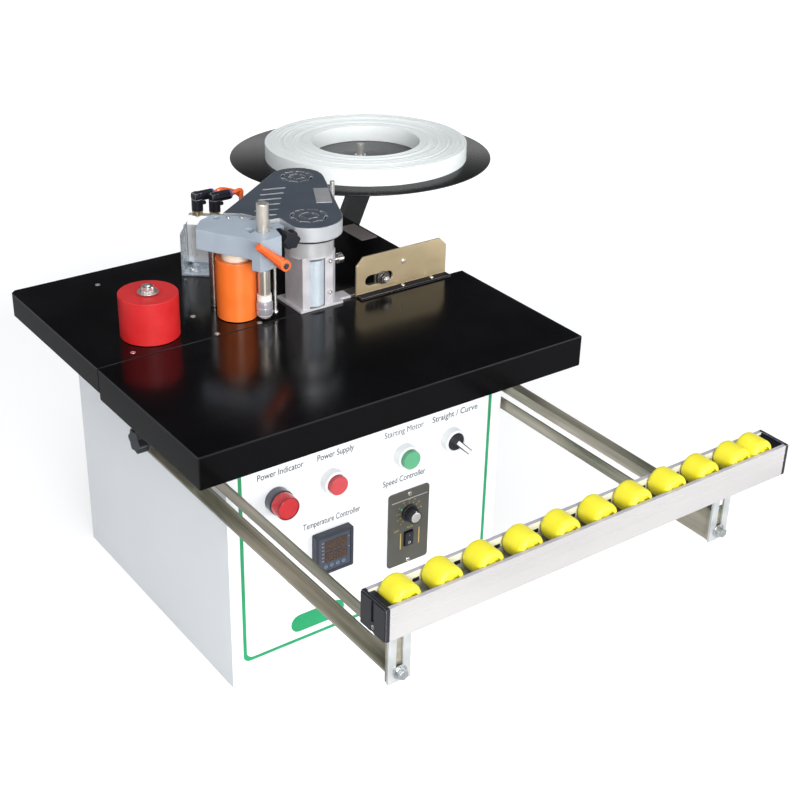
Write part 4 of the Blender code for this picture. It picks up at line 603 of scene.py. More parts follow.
def recut(node, cutters, look):
    """A new piece in a CAD node's place: the node's shape with more cut out of it."""
    piece = placed(node + "_cut", nodes[node].data.copy())
    piece.modifiers.new("Weld", "WELD").merge_threshold = JOIN
    for cutter in cutters:
        change = piece.modifiers.new("Cut", "BOOLEAN")
        change.operation = "DIFFERENCE"
        change.solver = "EXACT"
        change.object = cutter
    bpy.context.view_layer.update()
    made = bpy.data.meshes.new_from_object(piece.evaluated_get(bpy.context.evaluated_depsgraph_get()))
    piece.modifiers.clear()
    piece.data = made
    for cutter in cutters:
        bpy.data.objects.remove(cutter, do_unlink=True)
    soften(piece)
    finish_piece(piece, look, nodes[node]["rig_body"])
    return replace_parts(piece, node)


def loft(name, rings, look, body, **options):
    """A skin over closed rings of as many points each. A ring of one point closes an end to a tip."""
    points, starts = [], []
    for ring in rings:
        starts.append(len(points))
        points += ring
    faces = []
    for (first, a), (second, b) in zip(zip(rings, starts), list(zip(rings, starts))[1:]):
        count = max(len(first), len(second))
        for i in range(count):
            j = (i + 1) % count
            corners = [a + i % len(first), a + j % len(first), b + j % len(second), b + i % len(second)]
            faces.append(tuple(dict.fromkeys(corners)))
    for ring, start in ((rings[0], starts[0]), (rings[-1], starts[-1])):
        if len(ring) > 2:
            faces.append(tuple(range(start, start + len(ring))))
    return mesh_piece(name, points, faces, look, body, **options)


def ring(kind, radius, height, count=24):
    """A closed ring that is round, six-sided or cross-shaped."""
    found = []
    for i in range(count):
        turn = 2 * pi * i / count
        c, s = abs(cos(turn)) + 1e-9, abs(sin(turn)) + 1e-9
        if kind == "hex":
            reach = radius * cos(pi / 6) / cos(turn % (pi / 3) - pi / 6)
        elif kind == "cross":
            reach = max(min(radius / c, 0.28 * radius / s), min(0.28 * radius / c, radius / s))
        else:
            reach = radius
        found.append((reach * cos(turn), reach * sin(turn), height))
    return found


def stack(*steps):
    """Rings of a kind, radius and height each. A radius of nothing is a tip."""
    return [ring(kind, radius, height) if radius else [(0, 0, height)] for kind, radius, height in steps]


def turned(name, profile, look, body, at, turn=UPRIGHT, sides=48, **options):
    """A solid of revolution about the turned Z axis, from a profile of (radius, height)."""
    rings = [ring("round", r, z, sides) if r > 0 else [(0, 0, z)] for r, z in profile]
    # A profile that leaves the axis free makes a ring
    if profile[0][0] == 0:
        return loft(name, rings, look, body, at=at, turn=turn, **options)
    points = [point for each in rings for point in each]
    faces = []
    for k in range(len(rings)):
        a, b = k * sides, (k + 1) % len(rings) * sides
        faces += [(a + i, a + (i + 1) % sides, b + (i + 1) % sides, b + i) for i in range(sides)]
    return mesh_piece(name, points, faces, look, body, at=at, turn=turn, **options)


def rounded(low, high, radius, count=5):
    """A rectangle with rounded corners."""
    corners = (
        (high[0] - radius, high[1] - radius, 0),
        (low[0] + radius, high[1] - radius, 90),
        (low[0] + radius, low[1] + radius, 180),
        (high[0] - radius, low[1] + radius, 270),
    )
    turns = [(x, y, radians(turn + 90 * i / count)) for x, y, turn in corners for i in range(count + 1)]
    return [(x + radius * cos(turn), y + radius * sin(turn)) for x, y, turn in turns]


def disc(x, y, radius, count=20):
    return [(x + r[0], y + r[1]) for r in ring("round", radius, 0, count)]


def bar(start, end, width):
    """A straight stroke."""
    start, end = Vector(start), Vector(end)
    side = (end - start).normalized().orthogonal() * width / 2
    return [tuple(start + side), tuple(start - side), tuple(end - side), tuple(end + side)]


def strip(points, width):
    """Straight strokes along a route, from each place to the next."""
    return [bar(a, b, width) for a, b in zip(points, points[1:])]


def writing(name, words, look, body, at, turn, width=None, tall=0.008, middle=False, bold=0.0):
    """Words in mesh on the turned plane, squeezed to a width, from the line's start or round its middle."""
    curve = bpy.data.curves.new(name, "FONT")
    curve.body = words
    curve.size = 1.0
    curve.extrude = 0.001
    curve.offset = bold
    drawn = placed(name + "_drawn", curve)
    bpy.context.view_layer.update()
    mesh = bpy.data.meshes.new_from_object(drawn.evaluated_get(bpy.context.evaluated_depsgraph_get()))
    bpy.data.objects.remove(drawn, do_unlink=True)
    xs = [v.co.x for v in mesh.vertices]
    start, wide = min(xs), max(xs) - min(xs)
    rise = tall / 0.7
    shrink = width / wide if width else rise
    for vert in mesh.vertices:
        x = (vert.co.x - start - (wide / 2 if middle else 0)) * shrink
        vert.co = (x, vert.co.y * rise - (tall / 2 if middle else 0), PRINT if vert.co.z > 0 else -SUNK)
    mesh.transform(Matrix.Translation(at) @ turn.to_4x4())
    return finish_piece(placed(name, mesh), look, body)


def screw(name, at, turn, radius, kind="pan", body="machine", look="steel", height=None, recess="cross"):
    """A screw's head: a low dome, a flush countersunk one or a cap, with its drive cut in."""
    height = height or {"pan": 0.45, "sunk": 0.08, "cap": 0.95}[kind] * radius
    bite = min(0.5 * radius, height)
    hole = 0.62 * radius if recess == "cross" else 0.5 * radius
    if kind == "pan":
        sides = ((radius, 0.25), (0.9 * radius, 0.7), (0.72 * radius, 0.94))
    else:
        sides = ((radius, 0.8), (0.9 * radius, 1.0))
    rings = stack(("round", radius, -0.0004), *[("round", reach, rise * height) for reach, rise in sides])
    rings += stack((recess, hole, height), (recess, 0.85 * hole, height - bite))
    rings += stack(("tip", 0, height - 1.15 * bite))
    return loft(name, rings, look, body, at=at, turn=turn, slot="steel")


# ---- finishes on the CAD nodes
SOFT = {
    "front_table": 0.0014, "rear_table": 0.0012, "temperature_controller": 0.0006, "speed_controller": 0.0004,
    "speed_rocker": 0.0005, "left_rail_knob": 0.001, "right_rail_knob": 0.001, "arm_star_knob": 0.001,
    "air_valve": 0.0006, "gear_motor": 0.001, "reel_disc": 0.0006, "tape_roll": 0.0008,
}
for name, node in nodes.items():
    look = NODE_LOOKS.get(name) or node.material_slots[0].material.name.split(".")[0]
    node.material_slots[0].material = LOOKS[look]
    soften(node, SOFT.get(name, 0.0))

# ---- front panel: border, badge and labels
CONTROL_Z = centre("green_button_bezel").z
BORDER_X, BORDER_LOW, BORDER_TOP, BORDER_WIDE, BORDER_BEND = 0.1775, 0.03, 0.327, 0.0045, 0.009


def on_front(y):
    """Where flat shapes in X and Z go on an upright face of the machine: body, origin and turn."""
    return "machine", Vector((0, y, 0)), TO_FRONT


def panel(x, z, proud=0.0):
    return Vector((x, FRONT - proud, z))


corner = [
    (-BORDER_X + BORDER_BEND * (1 - cos(t)), BORDER_LOW + BORDER_BEND * (1 - sin(t)))
    for t in (pi / 2 * i / 8 for i in range(9))
]
border = [(-BORDER_X, BORDER_TOP), *corner, *[(-x, z) for x, z in reversed(corner)], (BORDER_X, BORDER_TOP)]
inner = [(x - copysign(BORDER_WIDE, x), z + (BORDER_WIDE if z < BORDER_TOP else 0.0)) for x, z in border]
band("panel_border", border, inner, 0.0, 0.00025, "green_ink", on_front(FRONT), loop=False)
flat("panel_badge", [rounded((-0.112, 0.0435), (-0.037, 0.068), 0.0121, 8)], "green_ink", *on_front(FRONT))

for name, words, left, right, z in (
    ("indicator", "Power Indicator", -0.153, -0.0926, 0.271),
    ("supply", "Power Supply", -0.0743, -0.0247, 0.271),
    ("motor", "Starting Motor", 0.0186, 0.075, 0.2705),
    ("selector", "Straight / Curve", 0.088, 0.156, 0.2705),
    ("temperature", "Temperature Controller", -0.0942, -0.0146, 0.1845),
    ("speed", "Speed Controller", 0.0176, 0.08, 0.2045),
):
    # A capital M closes up when it is drawn bolder
    weight = 0.0 if "M" in words else 0.008
    writing("label_" + name, words, "ink", "machine", panel(left, z), TO_FRONT, right - left, 0.008, bold=weight)

# ---- selector stripe, indicator lens and button faces
lean = radians(-45)
along = Vector((cos(lean), sin(lean)))
flat(
    "selector_stripe", [bar(along * -0.0094, along * 0.0184, 0.0048)], "white_ink", "selector_handle",
    panel(centre("selector_bezel").x, CONTROL_Z, 0.022), TO_FRONT,
)
LENS = ("machine", panel(centre("indicator_lamp").x, CONTROL_Z), TO_FRONT)
turned(
    "lens_dome",
    [(0, 0.0258), (0.0118, 0.0258), (0.0124, 0.0253), (0.013, 0.0262), (0.0138, 0.0262), (0.0143, 0.0252),
     (0.0146, 0.012), (0, 0.012)],
    "red_lens", *LENS, slot="red_lens",
)
turned(
    "lens_ring", [(0.0128, 0.0102), (0.0156, 0.0102), (0.0156, 0.0118), (0.015, 0.0126), (0.0128, 0.0126)],
    "slate_plastic", *LENS,
)
turned(
    "lens_rim",
    [(0.0127, 0.0255), (0.0141, 0.0255), (0.0141, 0.0264), (0.0138, 0.0267), (0.013, 0.0267), (0.0127, 0.0264)],
    "dark_lens", *LENS, slot="red_lens",
)
for colour in ("red", "green"):
    button, look = colour + "_button", colour + "_plastic"
    turned(
        button + "_face",
        [(0, 0.0182), (0.0104, 0.0183), (0.0112, 0.018), (0.0118, 0.0172), (0.0118, 0.0152), (0, 0.0152)],
        look, button, panel(centre(button).x, CONTROL_Z), TO_FRONT, slot=look,
    )

# ---- temperature controller: raised frame, face, two displays, lamps and keys
SEGMENTS = (
    ((0.1, 1.0), (0.9, 1.0)), ((1.0, 0.95), (1.0, 0.55)), ((1.0, 0.45), (1.0, 0.05)), ((0.1, 0.0), (0.9, 0.0)),
    ((0.0, 0.45), (0.0, 0.05)), ((0.0, 0.95), (0.0, 0.55)), ((0.1, 0.5), (0.9, 0.5)),
)
DIGIT_LEFT, DIGIT_PITCH, DIGIT_TALL = -0.069, 0.0285 / 4, 0.011
LAMP_ROWS = (0.164, 0.159, 0.154, 0.149, 0.144, 0.139)
KEY_Z, KEY_RADIUS, KEY_LINE = 0.13, 0.0021, 0.0005
# Each key's place and the way its arrow points; the first has a dot
KEYS = ((-0.069, None), (-0.0607, (-0.001, 0)), (-0.0524, (0, -0.001)), (-0.0441, (0, 0.001)))


def digits(low):
    """Four slanted seven-segment digits in a row, with every stroke shown."""
    shapes = []
    for k in range(4):
        for stroke in SEGMENTS:
            ends = [
                (DIGIT_LEFT + DIGIT_PITCH * (k + 0.12 + 0.66 * u) + 0.08 * DIGIT_TALL * v,
                 low + DIGIT_TALL * (0.04 + 0.92 * v))
                for u, v in stroke
            ]
            shapes.append(bar(*ends, 0.1 * DIGIT_TALL))
    return shapes


low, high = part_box("temperature_controller")
FACE = on_front(low.y)


def inset(by, radius):
    """The controller's outline, drawn in by a width."""
    return rounded((low.x + by, low.z + by), (high.x - by, high.z - by), radius)


band(
    "thermo_frame", inset(0.0, 0.002), inset(0.0042, 0.0012), -0.0004, 0.001, "slate_plastic", FACE,
    slot="slate_plastic", bevel=0.0004,
)
flat("thermo_face", [inset(0.0044, 0.001)], "slate_face", *FACE, 0.0003)
windows = [rounded((-0.07, z), (-0.0395, z + 0.014), 0.0008) for z in (0.1515, 0.136)]
flat("thermo_windows", windows, "display", *FACE, 0.0005)
flat("thermo_digits", digits(0.153) + digits(0.1375), "digit_glow", *FACE, 0.0006)
lamps = [disc(-0.0737, z, 0.0006, 10) for z in LAMP_ROWS]
lamps += [bar((-0.0728, z), (-0.0712, z), 0.0005) for z in LAMP_ROWS]
lamps += [disc(-0.0368, z, 0.0006, 10) for z in (0.162, 0.148)]
flat("thermo_lamps", lamps, "silver_ink", *FACE, 0.0005)
keys = []
for x, arrow in KEYS:
    spots = [radians(a) for a in range(0, 361, 30)]
    keys += strip([(x + KEY_RADIUS * cos(a), KEY_Z + KEY_RADIUS * sin(a)) for a in spots], KEY_LINE)
    if arrow:
        key, tip = Vector((x, KEY_Z)), Vector(arrow)
        wing = Vector((tip.y, -tip.x))
        keys += strip([key + wing - tip / 2, key + tip, key - wing - tip / 2], KEY_LINE)
    else:
        keys.append(disc(x, KEY_Z, 0.0008, 10))
flat("thermo_keys", keys, "key_glow", *FACE, 0.0005)

# ---- speed controller: screws, line, scale, lamp, bars, knob and rocker marks
low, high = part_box("speed_controller")
speed = (low.x + high.x) / 2
knob, rocker = centre("speed_knob"), centre("speed_rocker")
rocker_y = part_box("speed_rocker")[0].y
PLATE = on_front(low.y)
GOLD = ("gold_ink", "machine")
for name, z in (("upper", high.z - 0.005), ("lower", low.z + 0.0045)):
    screw("speed_screw_" + name, (speed, low.y, z), TO_FRONT, 0.003)
flat("speed_line", [bar((low.x + 0.004, 0.1777), (high.x - 0.003, 0.1777), 0.0011)], "silver_ink", *PLATE)
ticks = []
for i in range(11):
    turn = radians(228 - 27.6 * i)
    dial, reach = Vector((knob.x, knob.z)), Vector((cos(turn), sin(turn)))
    ticks.append(bar(dial + 0.0128 * reach, dial + 0.0148 * reach, 0.0006))
    x, z = dial + 0.018 * reach
    writing(f"speed_number_{i}", str(10 * i), *GOLD, (x, low.y, z), TO_FRONT, None, 0.002, middle=True)
ticks += [bar((x, 0.108), (x, 0.131), 0.0014) for x in (speed - 0.0117, speed + 0.016)]
flat("speed_scale", ticks, "gold_ink", *PLATE)
flat("speed_lamp", [disc(0.044, 0.1655, 0.0011, 16)], "green_glow", *PLATE, 0.0004)
for words, x in (("OFF", 0.0375), ("RUN", 0.0575)):
    writing("speed_" + words.lower(), words, *GOLD, (x, low.y, 0.1365), TO_FRONT, None, 0.0028, middle=True)

# The knob has a skirt with grip ribs, a silver cap and a white line
RIB_SIDES = 96
ribs = []
for z, wide, deep in (
    (0.0032, 0.0112, 0), (0.0052, 0.0112, 0), (0.0056, 0.01, 0.0006), (0.0162, 0.009, 0.0006),
    (0.0171, 0.0083, 0),
):
    radii = [wide - (deep if i % 4 < 2 else 0) for i in range(RIB_SIDES)]
    turns = [2 * pi * i / RIB_SIDES for i in range(RIB_SIDES)]
    ribs.append([(r * cos(t), r * sin(t), z) for r, t in zip(radii, turns)])
at = panel(knob.x, knob.z)
grip = loft("speed_knob_grip", ribs, "black_plastic", "speed_knob", at=at, turn=TO_FRONT, slot="black_plastic")
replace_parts(grip, "speed_knob")
turned(
    "speed_knob_cap", [(0, 0.0176), (0.0062, 0.0176), (0.0068, 0.0173), (0.007, 0.0168), (0, 0.016)],
    "steel", "speed_knob", at, TO_FRONT, slot="steel",
)
flat(
    "speed_knob_line", [bar((0, 0.007), (0, 0.0088), 0.0009)], "white_ink", "speed_knob",
    panel(knob.x, knob.z, 0.0168), TO_FRONT, 0.0004,
)
for name, words, look, rise, tall in (
    ("off", "O", "white_ink", -0.005, 0.0034), ("on", "I", "silver_ink", 0.005, 0.0026)
):
    spot = (rocker.x, rocker_y, rocker.z + rise)
    writing("rocker_" + name, words, look, "speed_rocker", spot, TO_FRONT, None, tall, middle=True)

# ---- tables
SCREWS = ((-0.206, 0.182), (-0.102, 0.173), (-0.103, 0.23), (-0.158, 0.376), (-0.045, 0.172))
for i, (x, back) in enumerate(SCREWS):
    screw(f"table_screw_{i + 1}", behind(x, back, 0.0001), UPRIGHT, 0.0032, "sunk", recess="hex")
flat(
    "table_plate", [rounded((0.203, FRONT + 0.319), (0.229, FRONT + 0.376), 0.001)], "bare_plate", "machine",
    (0, 0, TABLE), thick=0.0004,
)

# ---- red roller, orange roller and the track's yellow ones
RED = behind(centre("red_roller").x, centre("red_roller").y - FRONT)
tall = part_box("red_roller")[1].z - TABLE
r = half_wide("red_roller")
sleeve = turned(
    "red_roller_sleeve",
    [(0.0072, tall - 0.0006), (0.0165, tall - 0.0006), (0.0172, tall), (r, tall), (r, 0.0006),
     (0.0072, 0.0006)],
    "red_rubber", "red_roller", RED, sides=96, bevel=0.0012, slot="red_rubber",
)
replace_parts(sleeve, "red_roller")
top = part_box("red_roller_axle")[1].z - TABLE
loft(
    "red_roller_nut",
    stack(("hex", 0.0078, top - 0.0064), ("hex", 0.0078, top - 0.001), ("round", 0.0068, top),
          ("round", 0.004, top), ("round", 0.0036, top - 0.0006), ("round", 0.0032, top + 0.0012),
          ("tip", 0, top + 0.0014)),
    "steel", "machine", at=RED, slot="steel",
)
turned(
    "red_roller_washer",
    [(0.007, tall + 0.0004), (0.0124, tall + 0.0004), (0.0124, tall + 0.002), (0.007, tall + 0.002)],
    "steel", "machine", RED, bevel=0.0004, slot="steel",
)

PRESS = behind(centre("press_roller").x, centre("press_roller").y - FRONT)
r = half_wide("press_roller")
sleeve = turned(
    "press_roller_sleeve",
    [(0.006, 0.074), (0.017, 0.074), (0.0176, 0.075), (r, 0.075), (r, 0.0008), (0.006, 0.0008)],
    "orange_rubber", "press_roller", PRESS, sides=96, bevel=0.0011, slot="orange_rubber",
)
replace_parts(sleeve, "press_roller")
turned(
    "press_roller_collar",
    [(0.006, 0.0735), (0.0172, 0.0735), (0.0172, 0.08), (0.0166, 0.0804), (0.0166, 0.0872), (0.006, 0.0872)],
    "cream_plastic", "press_roller", PRESS, sides=64, bevel=0.0005,
)
turned(
    "press_roller_axle", [(0, 0.074), (0.0059, 0.074), (0.0059, 0.1055), (0, 0.1055)],
    "steel", "press_roller", PRESS, bevel=0.0004, slot="steel",
)

WHEELS = [f"track_roller_{number:02d}" for number in range(1, 12)]
WHEEL_HOLE, HUB_RADIUS, HUB_DEEP, WEB_DEEP, RIM = 0.0027, 0.005, 0.001, 0.003, 0.0046
QUARTER = [pi / 2 * i / 7 for i in range(1, 8)]
for name in WHEELS:
    low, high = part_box(name)
    half, r = (high.y - low.y) / 2, (high.z - low.z) / 2
    end = [
        (WHEEL_HOLE, half - HUB_DEEP), (HUB_RADIUS, half - HUB_DEEP), (HUB_RADIUS + 0.0004, half - WEB_DEEP),
        (r - RIM - 0.0012, half - WEB_DEEP), (r - RIM - 0.0008, half), (r - RIM, half),
    ]
    end += [(r - RIM + RIM * sin(t), half - 0.005 + 0.005 * cos(t)) for t in QUARTER]
    end += [(x, -z) for x, z in reversed(end)]
    wheel = turned(
        name + "_wheel", end, "yellow_plastic", name, centre(name), TO_FRONT, sides=64, slot="yellow_plastic",
    )
    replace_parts(wheel, name)

# ---- roller track: end caps, plugs, ribs, and the dark slots between its rollers in painted shade
SPACING = 0.0165
middle_y = (TRACK_LOW.y + TRACK_HIGH.y) / 2
BLACK_TRIM = {"bevel": 0.0005, "slot": "black_plastic"}
front, low, rear, top = TRACK_LOW.y + 0.0006, TRACK_LOW.z, TRACK_HIGH.y - 0.0006, TRACK_HIGH.z - 0.0006
for side, x, turn, sign in (("left", TRACK_LOW.x, TO_LEFT, -1), ("right", TRACK_HIGH.x, TO_RIGHT, 1)):
    pads = [
        rounded((front, low + 0.0006), (middle_y - 0.0018, top), 0.0012),
        rounded((middle_y + 0.0018, low + 0.0006), (rear, top), 0.0012),
        rounded((middle_y - 0.002, low + 0.009), (middle_y + 0.002, low + 0.012), 0.0006),
    ]
    pads = [[(sign * y, z) for y, z in pad][::sign] for pad in pads]
    flat(f"track_cap_{side}", pads, "black_plastic", "track", (x, 0, 0), turn, 0.0014, **BLACK_TRIM)
    screw(f"track_cap_screw_{side}", (x, middle_y, TRACK_LOW.z + 0.0058), turn, 0.0026, body="track")
for side, low, high in (
    ("left", TRACK_LOW.x + 0.003, min(centre(WHEELS[0]).x - SPACING, TRACK_LOW.x + 0.012)),
    ("right", max(centre(WHEELS[-1]).x + SPACING, TRACK_HIGH.x - 0.015), TRACK_HIGH.x - 0.003),
):
    flat(
        f"track_plug_{side}", [rounded((low, INNER_WALL[0] + 0.0004), (high, INNER_WALL[1] - 0.0004), 0.0012)],
        "black_plastic", "track", (0, 0, TRACK_HIGH.z - 0.004), thick=0.0016, sink=0.006, **BLACK_TRIM,
    )
left, right, top = TRACK_LOW.x + 0.0035, TRACK_HIGH.x - 0.0035, TRACK_HIGH.z
grooves = [rounded((left, top - z - 0.0005), (right, top - z + 0.0005), 0.0002, 1) for z in (0.0085, 0.0172)]
flat(
    "track_ribs", grooves, "aluminium", "track", (0, TRACK_LOW.y, 0), TO_FRONT, 0.0003, bevel=0.0001,
    slot="aluminium",
)
# Thin black sheets on the inner walls between the rollers stand for the shade in the gaps there: painted shade
stops = [TRACK_LOW.x - 0.012, *[centre(name).x for name in WHEELS], TRACK_HIGH.x + 0.012]
channel = []
for left, right in ((a + SPACING, b - SPACING) for a, b in zip(stops, stops[1:])):
    middle = (left + right) / 2
    for u, v in ((left - 0.002, middle - 0.0012), (middle + 0.0012, right + 0.002)):
        if right - left >= 0.004 and v - u > 0.002:
            channel.append(rounded((u, top - 0.0113), (v, top - 0.0072), 0.0006, 2))
mirrored = [[(-x, z) for x, z in outline] for outline in channel]
flat("track_slots_rear", channel, "black_plastic", "track", (0, TRACK_HIGH.y - 0.0042, 0), TO_FRONT, 0.0003)
flat("track_slot_shade_front", mirrored, "black_plastic", "track", (0, TRACK_LOW.y + 0.0042, 0), TO_BACK, 0.0003)

# ---- pressure arm and its fittings
ARM_TOP = 0.113
pocket = [(-0.051, 0.1945), (-0.0405, 0.1925), (-0.0385, 0.185), (-0.05, 0.179)]
arm_cuts = [tool(pocket, ARM_TOP - 0.0065)]
for x, back, r in ((-0.0592, 0.242, 0.0042), (-0.0251, 0.216, 0.0036)):
    arm_cuts.append(tool(disc(x, back, r), ARM_TOP - 0.012))
recut("support_arm", arm_cuts, "grey_paint")
SCREWS = ((-0.0337, 0.227, 0.0004), (-0.0475, 0.235, 0.0004), (-0.0225, 0.18, 0.0014))
for i, (x, back, sunk) in enumerate(SCREWS):
    spot = behind(x, back, ARM_TOP - sunk)
    screw(f"arm_screw_{i + 1}", spot, UPRIGHT, 0.0028, "cap", height=0.0016, recess="hex")

shaft = centre("guide_shaft")
bearing = turned(
    "guide_bearing_race",
    [(0.006, 0.0249), (0.0086, 0.0249), (0.0092, 0.0243), (0.0092, 0.0236), (0.0089, 0.0233), (0.0089, 0.0228),
     (0.01, 0.0224), (0.01, 0.0172), (0.0097, 0.0169), (0.01, 0.0166), (0.01, 0.0082), (0.0096, 0.007),
     (0.0088, 0.006), (0.006, 0.0055)],
    "bearing_steel", "guide_bearing", (shaft.x, shaft.y, TABLE), sides=64, slot="steel",
)
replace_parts(bearing, "guide_bearing")

pivot = behind(-0.03, 0.141, 0.0835)
turned(
    "clamp_lever_hub",
    [(0.003, 0.0074), (0.006, 0.0074), (0.0066, 0.0068), (0.007, 0.0), (0.007, -0.007), (0.0066, -0.0076),
     (0.003, -0.0076)],
    "orange_plastic", "clamp_lever", pivot, TO_FRONT, slot="orange_plastic",
)
pivot.y -= 0.0072
screw("clamp_lever_screw", pivot, TO_FRONT, 0.0036, "cap", "clamp_lever", "dark_steel", 0.0012, "hex")

# ---- glue head, cover, cutter and fence
for i, rise in enumerate((0.06, 0.019)):
    screw(f"housing_screw_{i + 1}", behind(0.0515, 0.1669, rise), TO_FRONT, 0.0028, "cap", recess="hex")
corners = ((0.0916, 0.266), (0.1085, 0.257), (0.085, 0.2125), (0.068, 0.2215))
flat(
    "cover_plate", [[(x, FRONT + back) for x, back in corners]], "bright_plate", "machine", (0, 0, COVER_TOP),
    thick=0.0004,
)

HEADING = radians(-40)
FORWARD = Vector((cos(HEADING), sin(HEADING), 0))
ASIDE = Vector((-sin(HEADING), cos(HEADING), 0))
CUTTER = behind(-0.0359, 0.3641)
NIPPLE_LOW, ELBOW_RISE = 0.068, 0.024
for i, along_block in enumerate((0.0115, 0.0338)):
    spot = CUTTER + FORWARD * along_block + ASIDE * 0.014
    loft(
        f"air_nipple_{i + 1}",
        stack(("hex", 0.0078, NIPPLE_LOW), ("hex", 0.0078, 0.0728), ("round", 0.007, 0.0736),
              ("round", 0.006, 0.0736), ("round", 0.006, 0.0745)),
        "cylinder", "machine", at=spot, slot="brass",
    )
    bend = spot + Vector((0, 0, NIPPLE_LOW + ELBOW_RISE))
    turned(
        f"air_collar_{i + 1}",
        [(0.0035, 0.0205), (0.0056, 0.0205), (0.006, 0.0212), (0.006, 0.0232), (0.0052, 0.0238),
         (0.0035, 0.0238)],
        "blue_collar", "machine", bend, TO_RIGHT,
    )
    turned(
        f"air_button_{i + 1}",
        [(0, 0.0118), (0.0022, 0.0118), (0.0026, 0.0112), (0.0026, 0.0086), (0.0015, 0.0084), (0.0015, 0.004),
         (0, 0.004)],
        "black_plastic", "machine", bend - Vector((0, 0, 0.01)), TO_RIGHT, sides=24,
    )
foot = CUTTER + FORWARD * 0.0085 - ASIDE * 0.016 + Vector((0, 0, 0.0032))
screw("mount_screw", foot, UPRIGHT, 0.0036, "cap", recess="hex")

FENCE_Y = -0.02
loft(
    "fence_bolt",
    stack(("hex", 0.0044, 0.0), ("hex", 0.0044, 0.0024), ("round", 0.0038, 0.003), ("round", 0.0024, 0.003),
          ("round", 0.0021, 0.0038), ("tip", 0, 0.004)),
    "steel", "machine", at=(0.133, FENCE_Y - 0.0066, TABLE + 0.018), turn=TO_FRONT, slot="steel",
)
screw("fence_screw", (0.164, FENCE_Y, TABLE + 0.033), TO_FRONT, 0.0034, body="tape_fence")
for i, x in enumerate((0.16, 0.205)):
    spot = (x, FENCE_Y - 0.006, TABLE + 0.0032)
    screw(f"fence_foot_screw_{i + 1}", spot, UPRIGHT, 0.0026, body="tape_fence")

# ---- reel: flat disc and wound tape
REEL_TURN = Vector((0, 0, 1)).rotation_difference(Vector((0.013, 0.041, 1))).to_matrix()
REEL = Vector((0.298, BACK + 0.0827, TABLE + 0.061))
plate = turned(
    "reel_plate",
    [(0.0055, 0.002), (0.1862, 0.002), (0.1868, 0.0017), (0.187, 0.001), (0.1868, 0.0003), (0.1862, 0.0),
     (0.028, 0.0), (0.025, -0.0025), (0.0055, -0.0025)],
    "reel_black", "reel", REEL, REEL_TURN, sides=144, slot="black_paint",
)
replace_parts(plate, "reel_disc")
# A few of the layers of tape lie lower than the rest
TAPE_LOW, TAPE_TOP, TAPE_INSIDE, TAPE_OUTSIDE = 0.0022, 0.025, 0.077, 0.144
LAYERS, LOW_LAYERS = 26, (7, 16, 17)
layer = (TAPE_OUTSIDE - TAPE_INSIDE) / LAYERS
wound = []
for i in range(LAYERS):
    r, end = TAPE_INSIDE + i * layer, TAPE_INSIDE + i * layer + layer
    top = TAPE_TOP - 0.0002 - 0.0002 * sin(2.4 * i) - (0.0009 if i in LOW_LAYERS else 0.0)
    wound += [(r + 0.0001, top - 0.0003), (r + 0.0004, top), (end - 0.0004, top), (end - 0.0001, top - 0.0003)]
roll = turned(
    "tape_windings", [*wound, (TAPE_OUTSIDE - 0.0001, TAPE_LOW), (TAPE_INSIDE + 0.0001, TAPE_LOW)],
    "white_tape", "reel", REEL + REEL_TURN @ Vector((0.0026, -0.01, 0)), REEL_TURN, sides=120,
    slot="white_tape",
)
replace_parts(roll, "tape_roll")

# ---- rear cover and mains inlet
for i, (z, x) in enumerate((z, x) for z in (0.02, 0.35, 0.185) for x in (-0.18, 0.18)):
    screw(f"rear_screw_{i + 1}", (x, BACK, z), TO_BACK, 0.0035)
inlet = centre("power_inlet")
pins = []
for dx, dz in ((-0.0055, -0.001), (0.0055, -0.001), (0, 0.002)):
    x, z = dx - inlet.x, dz + inlet.z
    pins.append(rounded((x - 0.001, z - 0.0025), (x + 0.001, z + 0.0025), 0.0005, 2))
flat("inlet_pins", pins, "steel", "machine", (0, BACK - 0.014, 0), TO_BACK, 0.011)
for side, x in (("left", -0.02), ("right", 0.02)):
    screw("inlet_screw_" + side, (inlet.x + x, BACK + 0.004, inlet.z), TO_BACK, 0.0022)


# ---- floor, light and camera
def floor_look():
    """Pale grey that takes the shadow, and lit white to the camera away from the object."""
    look = Look("studio_floor", specular=0.2)
    shade = look.mix(look.spread(look.noise(3), 0, 1), (0.48, 0.48, 0.48), (0.5, 0.5, 0.5))
    look.tree.links.new(shade, look.shader.inputs["Base Color"])
    look.shader.inputs["Roughness"].default_value = 0.8
    away = look.node("ShaderNodeVectorMath", {0: look.place}, operation="LENGTH").outputs[1]
    strength = look.spread(away, 0.56, 0.95, 0.9, 1.9)
    glow = look.node("ShaderNodeEmission", {"Color": (1, 1, 1, 1), "Strength": strength})
    seen = look.node("ShaderNodeLightPath").outputs["Is Camera Ray"]
    total = look.node("ShaderNodeAddShader", {0: look.shader.outputs[0], 1: glow.outputs[0]})
    swap = look.node("ShaderNodeMixShader", {0: seen, 1: look.shader.outputs[0], 2: total.outputs[0]})
    look.tree.links.new(swap.outputs[0], look.tree.nodes["Material Output"].inputs["Surface"])
    return look.material


